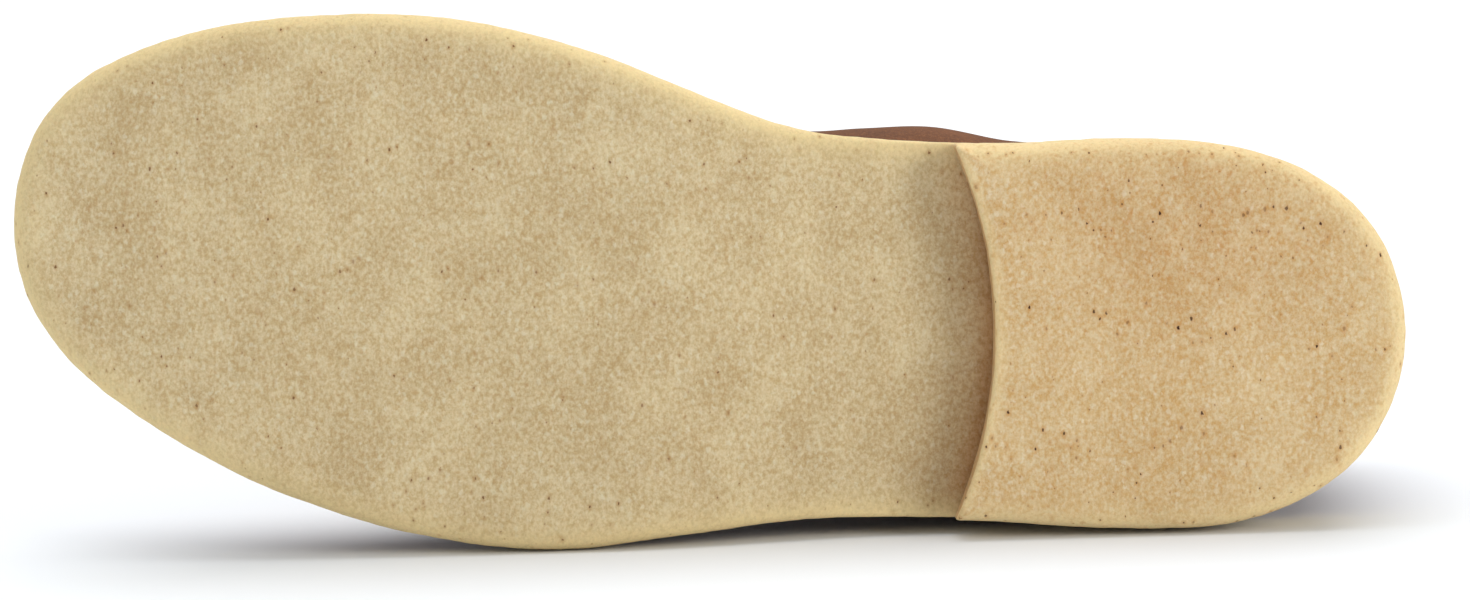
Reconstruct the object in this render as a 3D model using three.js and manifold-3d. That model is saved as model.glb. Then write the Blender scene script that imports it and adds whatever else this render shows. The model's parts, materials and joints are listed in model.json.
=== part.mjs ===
// A right desert boot on a crepe sole, lying on its outer side.
// The boot is modelled upright, in millimetres: x runs from the heel's back to the toe, y is positive on
// the inner side of the foot, and z is height above the tread. The last lines lay it on its side.
import * as THREE from "three";
import { mergeVertices } from "three/addons/utils/BufferGeometryUtils.js";
import { ConvexHull } from "three/addons/math/ConvexHull.js";
import Module from "manifold-3d";

const wasm = await Module();
wasm.setup();

// Driving sizes of the sole
const soleLength = 300;
const soleWidth = 112;
const outsoleThickness = 10;
const heelHeight = 11;
const toeSpring = 9;
const treadFrom = 168;
const treadTo = 214;
const treadRound = 4.5;
const topRound = 0.8;
const breastAt = 87.5;
const breastHollow = 8;
const breastSkew = 5;

// Driving sizes of the upper
const flangeWidth = 6;
const flangeThickness = 2;
const vampThickness = 1.8;
const quarterThickness = 1.6;
const toeHeight = 32;
const shaftHeight = 96;
const legHeight = 132;
const toePull = 30;
const heelLean = 6;
const vampLength = 126;
const collarDip = 9;

// Driving sizes of the throat, tongue, insole and lace
const throatGap = 11;
const vampNotch = 0.1;
const quarterNotch = 0.3;
const facingCorner = 9;
const eyeletRadius = 2.3;
const eyeletInset = 8;
const topEyelet = 15;
const eyeletSpacing = 22;
const laceRadius = 1.4;
const tongueThickness = 2;
const tongueWidth = 52;
const tongueRise = 14;
const tongueRoot = 12;
const insoleThickness = 3;

// Clearance between pieces that touch on the real boot
const gap = 0.3;

// Fineness of the faceted surfaces
const aroundSteps = 72;
const riseSteps = 11;
const roundSteps = 3;

// Edge of the sole seen from above: places along the length as shares of soleLength, and how far the
// outer and inner edges lie from the boot's axis as shares of soleWidth.
const outline = [
  { at: 0, outer: 0.031, inner: -0.031 },
  { at: 0.02, outer: 0.217, inner: 0.167 },
  { at: 0.06, outer: 0.323, inner: 0.27 },
  { at: 0.12, outer: 0.391, inner: 0.328 },
  { at: 0.2, outer: 0.413, inner: 0.333 },
  { at: 0.3, outer: 0.42, inner: 0.303 },
  { at: 0.4, outer: 0.44, inner: 0.293 },
  { at: 0.45, outer: 0.461, inner: 0.304 },
  { at: 0.5, outer: 0.488, inner: 0.34 },
  { at: 0.6, outer: 0.537, inner: 0.422 },
  { at: 0.7, outer: 0.523, inner: 0.462 },
  { at: 0.8, outer: 0.461, inner: 0.445 },
  { at: 0.88, outer: 0.371, inner: 0.396 },
  { at: 0.95, outer: 0.252, inner: 0.305 },
  { at: 0.985, outer: 0.137, inner: 0.2 },
  { at: 1, outer: -0.031, inner: 0.031 },
];

// Sections of the last. climb is the height of the top line: 0 is toeHeight and 1 is shaftHeight, and past
// 1 it follows the leg. sway is the top line's place across, and the swells are how far the sides stand
// out at mid height, as shares of soleWidth. full shapes the section, and 1 is an ellipse.
const sections = [
  { at: 0, climb: 4.6, sway: -0.03, innerSwell: 0.012, outerSwell: 0.012, full: 1 },
  { at: 0.1, climb: 4, sway: -0.035, innerSwell: 0.016, outerSwell: 0.014, full: 1 },
  { at: 0.2, climb: 3.1, sway: -0.045, innerSwell: 0.018, outerSwell: 0.012, full: 1 },
  { at: 0.28, climb: 2.25, sway: -0.05, innerSwell: 0.036, outerSwell: 0.008, full: 1 },
  { at: 0.34, climb: 1.72, sway: -0.05, innerSwell: 0.066, outerSwell: 0.006, full: 1 },
  { at: 0.39, climb: 1.3, sway: -0.048, innerSwell: 0.068, outerSwell: 0.004, full: 1 },
  { at: 0.43, climb: 1, sway: -0.045, innerSwell: 0.052, outerSwell: 0.004, full: 0.98 },
  { at: 0.48, climb: 0.72, sway: -0.035, innerSwell: 0.024, outerSwell: 0.004, full: 0.95 },
  { at: 0.54, climb: 0.5, sway: -0.015, innerSwell: 0.012, outerSwell: 0.004, full: 0.92 },
  { at: 0.61, climb: 0.33, sway: 0, innerSwell: 0.008, outerSwell: 0.006, full: 0.9 },
  { at: 0.7, climb: 0.19, sway: 0.01, innerSwell: 0.006, outerSwell: 0.008, full: 0.88 },
  { at: 0.79, climb: 0.1, sway: 0.015, innerSwell: 0.006, outerSwell: 0.008, full: 0.86 },
  { at: 0.88, climb: 0.015, sway: 0.02, innerSwell: 0.006, outerSwell: 0.008, full: 0.84 },
  { at: 1, climb: -0.15, sway: 0.02, innerSwell: 0.006, outerSwell: 0.008, full: 0.84 },
];

// Line of the heel's back: height as a share of shaftHeight, and how far forward the leather leans there
// as a share of heelLean.
const heelLine = [
  { up: 0, lean: 0 },
  { up: 0.15, lean: -0.28 },
  { up: 0.32, lean: -0.38 },
  { up: 0.55, lean: 0.05 },
  { up: 0.8, lean: 0.75 },
  { up: 1, lean: 1 },
  { up: 1.5, lean: 1.2 },
];

// Front edge of the quarters in side view: distance in front of the throat's base as a share of
// vampLength, and height as a share of the top line's height there.
const quarterFront = [
  { ahead: -0.01, up: 1.5 },
  { ahead: 0.03, up: 1.05 },
  { ahead: 0.055, up: 0.8 },
  { ahead: 0.04, up: 0.55 },
  { ahead: -0.03, up: 0.3 },
  { ahead: -0.13, up: 0.08 },
  { ahead: -0.2, up: -0.35 },
];

// Half width of the slit between the quarters as a share of throatGap, at distances from the throat's
// base as shares of the facing's length.
const throatEdge = [
  { along: -0.3, half: 1.9 },
  { along: -0.14, half: 1.25 },
  { along: 0, half: 0.62 },
  { along: 0.2, half: 0.46 },
  { along: 0.5, half: 0.5 },
  { along: 0.8, half: 0.66 },
];

// A smooth curve through the rows of a table, read by one column and giving another.
function curve(rows, from, to, period = 0) {
  const knots = rows.map((row) => [row[from], row[to]]);
  const slope = (a, b) => (b[1] - a[1]) / (b[0] - a[0]);
  const last = knots.length - 1;
  const before = period ? [knots[last - 1][0] - period, knots[last - 1][1]] : knots[0];
  const after = period ? [knots[1][0] + period, knots[1][1]] : knots[last];
  const all = [before, ...knots, after];
  const slopes = knots.map((knot, i) => {
    if (!period && i === 0) return slope(knots[0], knots[1]);
    if (!period && i === last) return slope(knots[last - 1], knots[last]);
    return slope(all[i], all[i + 2]);
  });
  return (value) => {
    const v = THREE.MathUtils.clamp(value, knots[0][0], knots[last][0]);
    let i = 0;
    while (i < last - 1 && v > knots[i + 1][0]) i += 1;
    const width = knots[i + 1][0] - knots[i][0];
    const s = (v - knots[i][0]) / width;
    const a = 2 * s ** 3 - 3 * s ** 2 + 1;
    const b = s ** 3 - 2 * s ** 2 + s;
    const c = 3 * s ** 2 - 2 * s ** 3;
    const d = s ** 3 - s ** 2;
    return a * knots[i][1] + b * width * slopes[i] + c * knots[i + 1][1] + d * width * slopes[i + 1];
  };
}

// Place along the sole for a turn of the outline: the turn is 0 at the heel's back, pi at the toe and
// 2 pi at the heel again, going out along the outer side.
const stationOf = (turn) => (soleLength * (1 - Math.cos(turn))) / 2;
const turnOf = (at) => Math.acos(1 - 2 * at);

const outlineKnots = [
  ...outline.map((row) => ({ turn: turnOf(row.at), side: -row.outer * soleWidth })),
  ...outline
    .slice(0, -1)
    .reverse()
    .map((row) => ({ turn: 2 * Math.PI - turnOf(row.at), side: row.inner * soleWidth })),
];
const sideAt = curve(outlineKnots, "turn", "side", 2 * Math.PI);

// The point of the sole's edge at a turn, moved inwards by an inset, with the outward normal there.
function edge(turn, inset = 0) {
  const step = 0.01;
  const wrap = (t) => (t + 2 * Math.PI) % (2 * Math.PI);
  const dx = stationOf(turn + step) - stationOf(turn - step);
  const dy = sideAt(wrap(turn + step)) - sideAt(wrap(turn - step));
  const normal = new THREE.Vector2(dy, -dx).normalize();
  const x = stationOf(turn) - normal.x * inset;
  const y = sideAt(wrap(turn)) - normal.y * inset;
  return { x, y, normal };
}

// The heel lift's front edge is an arc that turns a little to the inner side. Its chord spans the heel.
const heelSpan = sideAt(2 * Math.PI - turnOf(breastAt / soleLength)) - sideAt(turnOf(breastAt / soleLength));
const breastRadius = (heelSpan ** 2 / 4 + breastHollow ** 2) / (2 * breastHollow);
const waistFrom = breastAt + breastHollow + breastSkew;

// Height of the outsole's underside: level under the heel, down through the waist to the tread, and up
// to the toe.
function underside(x) {
  const down = THREE.MathUtils.smoothstep(x, waistFrom, treadFrom);
  const spring = Math.max(0, (x - treadTo) / (soleLength - treadTo));
  return heelHeight * (1 - down) + toeSpring * spring ** 2;
}
const seat = (x) => underside(x) + outsoleThickness + gap;

const column = (name) => curve(sections, "at", name);
const climbAt = column("climb");
const swayAt = column("sway");
const innerSwellAt = column("innerSwell");
const outerSwellAt = column("outerSwell");
const fullAt = column("full");
const leanAt = curve(heelLine, "up", "lean");

// Height of the last's top line above the seat, at a place along the sole.
const ridge = (x) => toeHeight + (shaftHeight - toeHeight) * climbAt(x / soleLength);

// The place along the sole where the top line reaches a height above the seat.
function stationOfRidge(height) {
  let [low, high] = [0, soleLength];
  for (let i = 0; i < 40; i += 1) {
    const middle = (low + high) / 2;
    if (ridge(middle) > height) low = middle;
    else high = middle;
  }
  return low;
}

// The last's top line point for a station of the edge, moved inwards by an inset. Towards the toe it
// lies further back than the edge, so that the sides fan round the toe.
function ridgePoint(station, inset) {
  const towardsToe = THREE.MathUtils.smoothstep(station, soleLength / 2, soleLength);
  const x = station - toePull * towardsToe;
  const step = 1;
  const rise = ridge(x + step) + seat(x + step) - ridge(x - step) - seat(x - step);
  const normal = new THREE.Vector2(-rise, 2 * step).normalize();
  return {
    x: x - normal.x * inset,
    y: swayAt(x / soleLength) * soleWidth,
    z: seat(x) + ridge(x) - normal.y * inset,
    fall: (rise / (2 * step)) * towardsToe,
  };
}

// A point of the last's surface: turn goes round the edge, and rise goes from 0 at the feather line to 1
// at the top line, or at the leg's top. An inset moves the whole surface inwards.
function lastPoint(turn, rise, inset = 0) {
  const station = stationOf(turn);
  const foot = edge(turn, flangeWidth + inset);
  const top = ridgePoint(station, inset);
  const base = seat(station) + flangeThickness;
  const full = fullAt(station / soleLength);
  const reach = Math.min(1, (legHeight - inset + seat(0) - base) / (top.z - base));
  const angle = reach < 1 ? rise * Math.asin(reach ** (1 / full)) : (rise * Math.PI) / 2;
  const up = Math.sin(angle) ** full;
  const inwards = rise === 1 && reach === 1 ? 1 : 1 - Math.cos(angle) ** full;
  const z = base + (top.z + top.fall * (foot.x - top.x) * (1 - inwards) - base) * up;
  const share = (z - base) / Math.min(shaftHeight, top.z - base);
  const inner = turn > Math.PI;
  const swell = soleWidth * (inner ? innerSwellAt : outerSwellAt)(station / soleLength);
  const bump = share < 1 ? Math.sin(Math.PI * share ** 0.75) : 0;
  const back = Math.max(0, 1 - station / breastAt) ** 2;
  const lean = heelLean * leanAt((z - base) / shaftHeight) * back;
  return new THREE.Vector3(
    foot.x + (top.x - foot.x) * inwards + foot.normal.x * swell * bump + lean,
    foot.y + (top.y - foot.y) * inwards + foot.normal.y * swell * bump,
    z,
  );
}

// One closed body from rings of equal length, each going round like the outline. The first and last
// rings are closed by strips from side to side.
function stack(rings) {
  const count = rings[0].length;
  const positions = rings.flat().flatMap((p) => [p.x, p.y, p.z]);
  const faces = [];
  const quad = (a, b, c, d) => faces.push([a, b, c], [a, c, d]);
  for (let level = 0; level + 1 < rings.length; level += 1) {
    for (let i = 0; i < count; i += 1) {
      const next = (i + 1) % count;
      const [low, high] = [level * count, (level + 1) * count];
      quad(low + i, low + next, high + next, high + i);
    }
  }
  const cap = (start, up) => {
    for (let i = 0; i < count / 2; i += 1) {
      const strip = [start + i, start + i + 1, start + count - i - 1, start + ((count - i) % count)];
      if (up) quad(...strip);
      else quad(...strip.reverse());
    }
  };
  cap(0, false);
  cap((rings.length - 1) * count, true);
  const geometry = new THREE.BufferGeometry();
  geometry.setAttribute("position", new THREE.Float32BufferAttribute(positions, 3));
  geometry.setIndex(faces.flat());
  return geometry;
}

// A manifold-3d solid from a closed geometry.
function solid(geometry) {
  const bare = geometry.clone();
  bare.deleteAttribute("normal");
  bare.deleteAttribute("uv");
  const merged = mergeVertices(bare, 1e-3);
  const index = Array.from(merged.index.array);
  const kept = [];
  for (let i = 0; i < index.length; i += 3) {
    const [a, b, c] = index.slice(i, i + 3);
    if (a !== b && b !== c && c !== a) kept.push(a, b, c);
  }
  const vertProperties = merged.attributes.position.array;
  return new wasm.Manifold(new wasm.Mesh({ numProp: 3, vertProperties, triVerts: new Uint32Array(kept) }));
}

// A three.js geometry from a manifold-3d solid.
function geometryOf(body) {
  const mesh = body.getMesh();
  const geometry = new THREE.BufferGeometry();
  geometry.setAttribute("position", new THREE.BufferAttribute(mesh.vertProperties.slice(), 3));
  geometry.setIndex(new THREE.BufferAttribute(mesh.triVerts.slice(), 1));
  const flat = geometry.toNonIndexed();
  flat.computeVertexNormals();
  return flat;
}

const turns = Array.from({ length: aroundSteps }, (_, i) => (2 * Math.PI * i) / aroundSteps);
const ring = (pointAt) => turns.map((turn) => pointAt(turn));

// A ring that follows the sole's edge at an inset, at a height that depends on the place along it.
const edgeRing = (inset, heightAt) =>
  ring((turn) => {
    const p = edge(turn, typeof inset === "function" ? inset(stationOf(turn)) : inset);
    return new THREE.Vector3(p.x, p.y, heightAt(stationOf(turn)));
  });

// The last as a closed body. With a flange its foot is turned out flat on the sole.
function form(inset, { flange = false, below = 0 } = {}) {
  const rings = [];
  if (flange) {
    rings.push(edgeRing(gap, seat));
    rings.push(edgeRing(gap, (x) => seat(x) + flangeThickness));
  } else {
    rings.push(edgeRing(flangeWidth + inset, (x) => seat(x) - below));
  }
  for (let i = 0; i <= riseSteps; i += 1) {
    rings.push(ring((turn) => lastPoint(turn, i / riseSteps, inset)));
  }
  return solid(stack(rings));
}

// A solid made by extruding a side view, in x and height, across the whole boot.
function acrossBoot(points) {
  const shape = new THREE.Shape(points);
  const depth = 2 * soleWidth;
  const geometry = new THREE.ExtrudeGeometry(shape, { depth, bevelEnabled: false });
  geometry.rotateX(Math.PI / 2);
  geometry.translate(0, depth / 2, 0);
  return solid(geometry);
}

// The outsole: a crepe slab with a rounded ground edge, which stays square above the heel.
function outsole() {
  const radius = (x) => topRound + (treadRound - topRound) * THREE.MathUtils.smoothstep(x, waistFrom, treadFrom);
  const rings = [];
  for (let i = 0; i <= roundSteps; i += 1) {
    const angle = (Math.PI / 2) * (i / roundSteps);
    rings.push(
      edgeRing(
        (x) => radius(x) * (1 - Math.sin(angle)),
        (x) => underside(x) + radius(x) * (1 - Math.cos(angle)),
      ),
    );
  }
  rings.push(edgeRing(0, (x) => underside(x) + outsoleThickness - topRound));
  rings.push(edgeRing(topRound, (x) => underside(x) + outsoleThickness));
  return solid(stack(rings));
}

// The heel lift: the same edge as the outsole, cut off in front by a hollow breast.
function heelLift() {
  const rings = [];
  for (let i = 0; i <= roundSteps; i += 1) {
    const angle = (Math.PI / 2) * (i / roundSteps);
    rings.push(
      edgeRing(treadRound * (1 - Math.sin(angle)), () => treadRound * (1 - Math.cos(angle))),
    );
  }
  rings.push(edgeRing(0, () => heelHeight - gap));
  const block = solid(stack(rings));
  const breast = new THREE.CylinderGeometry(breastRadius, breastRadius, 4 * heelHeight, 96);
  breast.rotateX(Math.PI / 2);
  const middle = sideAt(2 * Math.PI - turnOf(breastAt / soleLength)) + sideAt(turnOf(breastAt / soleLength));
  breast.translate(breastAt + breastRadius, middle / 2 - (breastRadius * breastSkew) / heelSpan, 0);
  const front = new THREE.BoxGeometry(soleLength, 2 * soleWidth, 4 * heelHeight);
  front.translate(waistFrom + soleLength / 2, 0, 0);
  return block.subtract(solid(breast)).subtract(solid(front));
}

// The insole lies on the outsole, inside the upper's wall.
function insole() {
  const inset = flangeWidth + vampThickness + gap;
  return solid(
    stack([edgeRing(inset, seat), edgeRing(inset, (x) => seat(x) + insoleThickness)]),
  );
}

// The facing runs from the throat's base up the instep to the collar. Its frame has one axis along it,
// one across the boot, and one that points out of the instep.
const throatStation = soleLength - vampLength;
const collarStation = stationOfRidge(shaftHeight);
const throatSide = swayAt((throatStation + collarStation) / 2 / soleLength) * soleWidth;
const onTopLine = (x) => new THREE.Vector3(x, throatSide, seat(x) + ridge(x));
const throatBase = onTopLine(throatStation);
const collarFront = onTopLine(collarStation);
const facingLength = throatBase.distanceTo(collarFront);
const along = collarFront.clone().sub(throatBase).normalize();
const across = new THREE.Vector3(0, -1, 0);
const outwards = along.clone().cross(across);
const facingFrame = new THREE.Matrix4().makeBasis(along, across, outwards).setPosition(throatBase);

// A prism that stands on the instep: its outline is in the facing's frame, and it reaches from under the
// instep's wall to above it.
function instepPrism(points, depth) {
  const shape = new THREE.Shape(points);
  const height = depth + toeHeight;
  const geometry = new THREE.ExtrudeGeometry(shape, { depth: height, bevelEnabled: false });
  geometry.translate(0, 0, -depth);
  geometry.applyMatrix4(facingFrame);
  return solid(geometry);
}

// The slit between the quarters, from a distance along the facing to above the collar. Its lower end is
// round, and its upper end flares, which rounds the facings' corners.
function throatSlit(from) {
  const half = curve(throatEdge, "along", "half");
  const corner = facingLength - facingCorner;
  const start = throatGap * half(from / facingLength);
  const side = [];
  for (let i = 1; i <= 4; i += 1) {
    const angle = (Math.PI / 2) * (i / 4);
    side.push([from - start * Math.cos(angle), start * Math.sin(angle)]);
  }
  for (let i = 1; i <= 10; i += 1) {
    const place = from + ((corner - from) * i) / 10;
    side.push([place, throatGap * half(place / facingLength)]);
  }
  const top = side.at(-1)[1];
  for (let i = 1; i <= 4; i += 1) {
    const angle = (Math.PI / 2) * (i / 4);
    side.push([corner + facingCorner * Math.sin(angle), top + facingCorner * (1 - Math.cos(angle))]);
  }
  side.push([facingLength + 3 * facingCorner, top + 2 * facingCorner]);
  const rim = [
    new THREE.Vector2(from - start, 0),
    ...side.map(([place, width]) => new THREE.Vector2(place, width)),
    ...side.reverse().map(([place, width]) => new THREE.Vector2(place, -width)),
  ];
  return instepPrism(rim, toeHeight / 2);
}

// The space above the collar's line, which is lowest beside the ankle.
function aboveCollar() {
  const front = collarFront.z;
  const back = front - collarDip;
  const line = new THREE.CatmullRomCurve3(
    [
      new THREE.Vector3(-heelLean, back + collarDip * 0.1, 0),
      new THREE.Vector3(collarStation * 0.2, back - collarDip * 0.1, 0),
      new THREE.Vector3(collarStation * 0.5, back - collarDip * 0.2, 0),
      new THREE.Vector3(collarStation * 0.8, front - collarDip * 0.55, 0),
      new THREE.Vector3(collarStation * 1.05, front + collarDip * 0.1, 0),
      new THREE.Vector3(collarStation * 1.4, front + collarDip * 0.8, 0),
    ],
    false,
    "centripetal",
  );
  const points = line.getPoints(20).map((p) => new THREE.Vector2(p.x, p.y));
  const top = front + 2 * legHeight;
  points[0].x = -soleLength / 4;
  points.push(new THREE.Vector2(points.at(-1).x, top));
  points.push(new THREE.Vector2(-soleLength / 4, top));
  return acrossBoot(points);
}

// Everything behind the quarters' front edge.
function behindQuarterFront() {
  const height = ridge(throatStation);
  const foot = seat(throatStation);
  const knots = quarterFront.map(
    (row) => new THREE.Vector3(throatStation + row.ahead * vampLength, foot + row.up * height, 0),
  );
  const points = new THREE.CatmullRomCurve3(knots, false, "centripetal")
    .getPoints(24)
    .map((p) => new THREE.Vector2(p.x, p.y));
  const low = points.at(-1).y;
  points.push(new THREE.Vector2(-soleLength / 4, low));
  points.push(new THREE.Vector2(-soleLength / 4, 3 * legHeight));
  points.push(new THREE.Vector2(points[0].x, 3 * legHeight));
  return acrossBoot(points);
}

// The point on the quarters' outer surface at a place in the facing's frame, with the normal there.
const quarterForm = form(-quarterThickness);
const quarterMesh = new THREE.Mesh(geometryOf(quarterForm));
function facingPoint(place, sideways, lift = 0) {
  const origin = throatBase
    .clone()
    .addScaledVector(along, place)
    .addScaledVector(across, sideways)
    .addScaledVector(outwards, soleLength);
  const hit = new THREE.Raycaster(origin, outwards.clone().negate()).intersectObject(quarterMesh)[0];
  return { point: hit.point.clone().addScaledVector(hit.face.normal, lift), normal: hit.face.normal };
}

const eyeletPlaces = [facingLength - topEyelet, facingLength - topEyelet - eyeletSpacing];
const eyeletSide = throatGap * 0.5 + eyeletInset;

// The four holes for the lace, square to the leather.
function eyeletHoles() {
  return eyeletPlaces.flatMap((place) =>
    [-eyeletSide, eyeletSide].map((sideways) => {
      const { point, normal } = facingPoint(place, sideways);
      const hole = new THREE.CylinderGeometry(eyeletRadius, eyeletRadius, 4 * eyeletRadius, 16);
      const turn = new THREE.Quaternion().setFromUnitVectors(new THREE.Vector3(0, 1, 0), normal);
      hole.applyQuaternion(turn);
      hole.translate(point.x, point.y, point.z);
      return solid(hole);
    }),
  );
}

// The upper: one hollow wall, turned out round its foot, that is thicker where the quarters lie over the
// vamp. It is open below, at the collar and along the throat.
function upper() {
  const quarters = quarterForm.intersect(behindQuarterFront()).subtract(throatSlit(-facingLength * quarterNotch));
  const openings = [
    form(vampThickness, { below: outsoleThickness }),
    throatSlit(facingLength * vampNotch),
    aboveCollar(),
    ...eyeletHoles(),
  ];
  return openings.reduce((wall, space) => wall.subtract(space), form(0, { flange: true }).add(quarters));
}

// The tongue lies under the facings and stands above the collar.
function tongue() {
  const outer = form(vampThickness + gap);
  const inner = form(vampThickness + gap + tongueThickness, { below: outsoleThickness });
  const half = tongueWidth / 2;
  const corner = half / 2;
  const end = facingLength + tongueRise;
  const shape = new THREE.Shape();
  shape.moveTo(-tongueRoot, -half * 0.7);
  shape.lineTo(end - corner, -half);
  shape.quadraticCurveTo(end, -half, end, -half + corner);
  shape.lineTo(end, half - corner);
  shape.quadraticCurveTo(end, half, end - corner, half);
  shape.lineTo(-tongueRoot, half * 0.7);
  return outer.subtract(inner).intersect(instepPrism(shape.getPoints(6), toeHeight));
}

// The lace: two strands that cross over the throat, from the lower eyelets to the upper ones.
function laceCrossing() {
  const strand = (side) => {
    const [high, low] = eyeletPlaces;
    const lift = laceRadius + gap;
    const points = [facingPoint(low, side * eyeletSide, -lift).point];
    for (let i = 0; i <= 8; i += 1) {
      const share = i / 8;
      const place = low + (high - low) * share;
      const sideways = side * eyeletSide * (1 - 2 * share);
      points.push(facingPoint(place, sideways, lift).point);
    }
    points.push(facingPoint(high, -side * eyeletSide, -lift).point);
    const section = new THREE.Shape().absarc(0, 0, laceRadius, 0, 2 * Math.PI);
    const path = new THREE.CatmullRomCurve3(points, false, "centripetal");
    const options = { steps: 24, curveSegments: 4, extrudePath: path, bevelEnabled: false };
    return solid(new THREE.ExtrudeGeometry(section, options));
  };
  return strand(-1).add(strand(1));
}

const crepe = { color: 0xc9b084, roughness: 0.85, metalness: 0 };
const materials = {
  outsole: crepe,
  heel_lift: { ...crepe, color: 0xd3b585 },
  upper: { color: 0x8a5c40, roughness: 0.75, metalness: 0 },
  tongue: { color: 0x7d523a, roughness: 0.75, metalness: 0 },
  insole: { color: 0xb08a62, roughness: 0.8, metalness: 0 },
  lace: { color: 0x5a3d2b, roughness: 0.9, metalness: 0 },
};
const bodies = {
  outsole: outsole(),
  heel_lift: heelLift(),
  upper: upper(),
  tongue: tongue(),
  insole: insole(),
  lace: laceCrossing(),
};

const standing = new THREE.Group();
for (const [name, body] of Object.entries(bodies)) {
  const mesh = new THREE.Mesh(geometryOf(body), new THREE.MeshStandardMaterial(materials[name]));
  mesh.name = name;
  standing.add(mesh);
}

// Volume and centre of mass of a closed mesh, from its faces' tetrahedra.
function massOf(geometry) {
  const position = geometry.attributes.position;
  const centre = new THREE.Vector3();
  let volume = 0;
  for (let i = 0; i < position.count; i += 3) {
    const [a, b, c] = [0, 1, 2].map((k) => new THREE.Vector3().fromBufferAttribute(position, i + k));
    const share = a.dot(b.clone().cross(c)) / 6;
    volume += share;
    centre.addScaledVector(a.add(b).add(c), share / 4);
  }
  return { volume, centre: centre.divideScalar(volume) };
}

// The plane that the boot rests on when it lies on its outer side: the face of its convex hull that
// the centre of mass stands over and that looks furthest to the outer side.
function restingPlane() {
  const points = standing.children.flatMap((mesh) => {
    const position = mesh.geometry.attributes.position;
    return Array.from({ length: position.count }, (_, i) => new THREE.Vector3().fromBufferAttribute(position, i));
  });
  const masses = standing.children.map((mesh) => massOf(mesh.geometry));
  const total = masses.reduce((sum, mass) => sum + mass.volume, 0);
  const centre = new THREE.Vector3();
  masses.forEach((mass) => centre.addScaledVector(mass.centre, mass.volume / total));
  const under = new ConvexHull().setFromPoints(points).faces.filter((face) => {
    const foot = centre.clone().addScaledVector(face.normal, face.constant - face.normal.dot(centre));
    let side = face.edge;
    do {
      const [from, to] = [side.tail().point, side.head().point];
      const inwards = face.normal.clone().cross(to.clone().sub(from));
      if (inwards.dot(foot.clone().sub(from)) < 0) return false;
      side = side.next;
    } while (side !== face.edge);
    return true;
  });
  under.sort((a, b) => a.normal.y - b.normal.y);
  return under[0].normal;
}

// Lay the boot down: its outer side on the floor, its sole towards -y, its toe towards -x.
const down = restingPlane();
const toHeel = new THREE.Vector3(-1, 0, 0).addScaledVector(down, down.x).normalize();
const up = down.clone().negate();
const rowAxes = new THREE.Matrix4().makeBasis(toHeel, up.clone().cross(toHeel), up).transpose();
standing.applyMatrix4(rowAxes);
standing.updateMatrixWorld(true);
const box = new THREE.Box3().setFromObject(standing, true);
const middle = box.getCenter(new THREE.Vector3());
standing.position.sub(new THREE.Vector3(middle.x, middle.y, box.min.z));

const boot = new THREE.Group();
boot.add(standing);

export default boot;
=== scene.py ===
"""A right desert boot on a crepe sole, lying on its outer side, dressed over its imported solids.

Every size is in metres. The boot is worked out upright, as a shoemaker sees it: x runs from the heel's back
to the toe, y is positive on the inner side of the foot and z is height above the tread. The stance then
lays each finished piece on its side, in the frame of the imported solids.
"""
import json
import logging
import math
from collections.abc import Callable, Iterable
from dataclasses import dataclass, field
from enum import Enum
from functools import partial
from typing import NamedTuple

import bmesh
import bpy
import numpy as np
from mathutils import Matrix, Vector, noise
from mathutils.bvhtree import BVHTree


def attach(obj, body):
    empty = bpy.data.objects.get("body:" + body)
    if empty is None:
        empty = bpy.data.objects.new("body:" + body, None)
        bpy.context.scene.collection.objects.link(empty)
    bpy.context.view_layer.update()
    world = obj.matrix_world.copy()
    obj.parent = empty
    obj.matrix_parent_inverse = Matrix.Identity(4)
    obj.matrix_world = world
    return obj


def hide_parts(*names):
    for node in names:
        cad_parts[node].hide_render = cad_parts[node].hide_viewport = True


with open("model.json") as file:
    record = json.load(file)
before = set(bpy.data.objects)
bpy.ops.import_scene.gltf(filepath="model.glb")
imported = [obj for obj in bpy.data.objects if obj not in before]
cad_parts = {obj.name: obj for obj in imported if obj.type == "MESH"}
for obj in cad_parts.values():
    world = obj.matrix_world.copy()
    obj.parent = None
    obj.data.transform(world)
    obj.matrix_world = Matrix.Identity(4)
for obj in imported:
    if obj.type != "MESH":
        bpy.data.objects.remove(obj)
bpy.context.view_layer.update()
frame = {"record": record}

log = logging.getLogger("boot")

Array = np.ndarray
Place = Callable[[Array, Array], Array]
Socket = bpy.types.NodeSocket
Value = Socket | float
Colour = tuple[float, float, float, float]

MM = 0.001
HALF_TURN = math.pi
FULL_TURN = 2 * math.pi

# Points inside the boot, which show the way in for an open sheet.
TOE_ROOM = Vector((230 * MM, 0, 30 * MM))
HEEL_ROOM = Vector((90 * MM, -5 * MM, 50 * MM))


class Side(Enum):
    """The two sides of the boot, with the sign of y there."""

    OUTER = -1
    INNER = 1

    def turned(self, turn: Array) -> Array:
        """Turns counted from the heel's back along this side, as turns round the whole edge."""
        return turn if self is Side.OUTER else FULL_TURN - turn


def cubic(s: Array) -> tuple[Array, Array, Array, Array]:
    """Weights of a cubic's start, its slope there, its end and its slope there."""
    return 2 * s**3 - 3 * s**2 + 1, s**3 - 2 * s**2 + s, 3 * s**2 - 2 * s**3, s**3 - s**2


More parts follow.
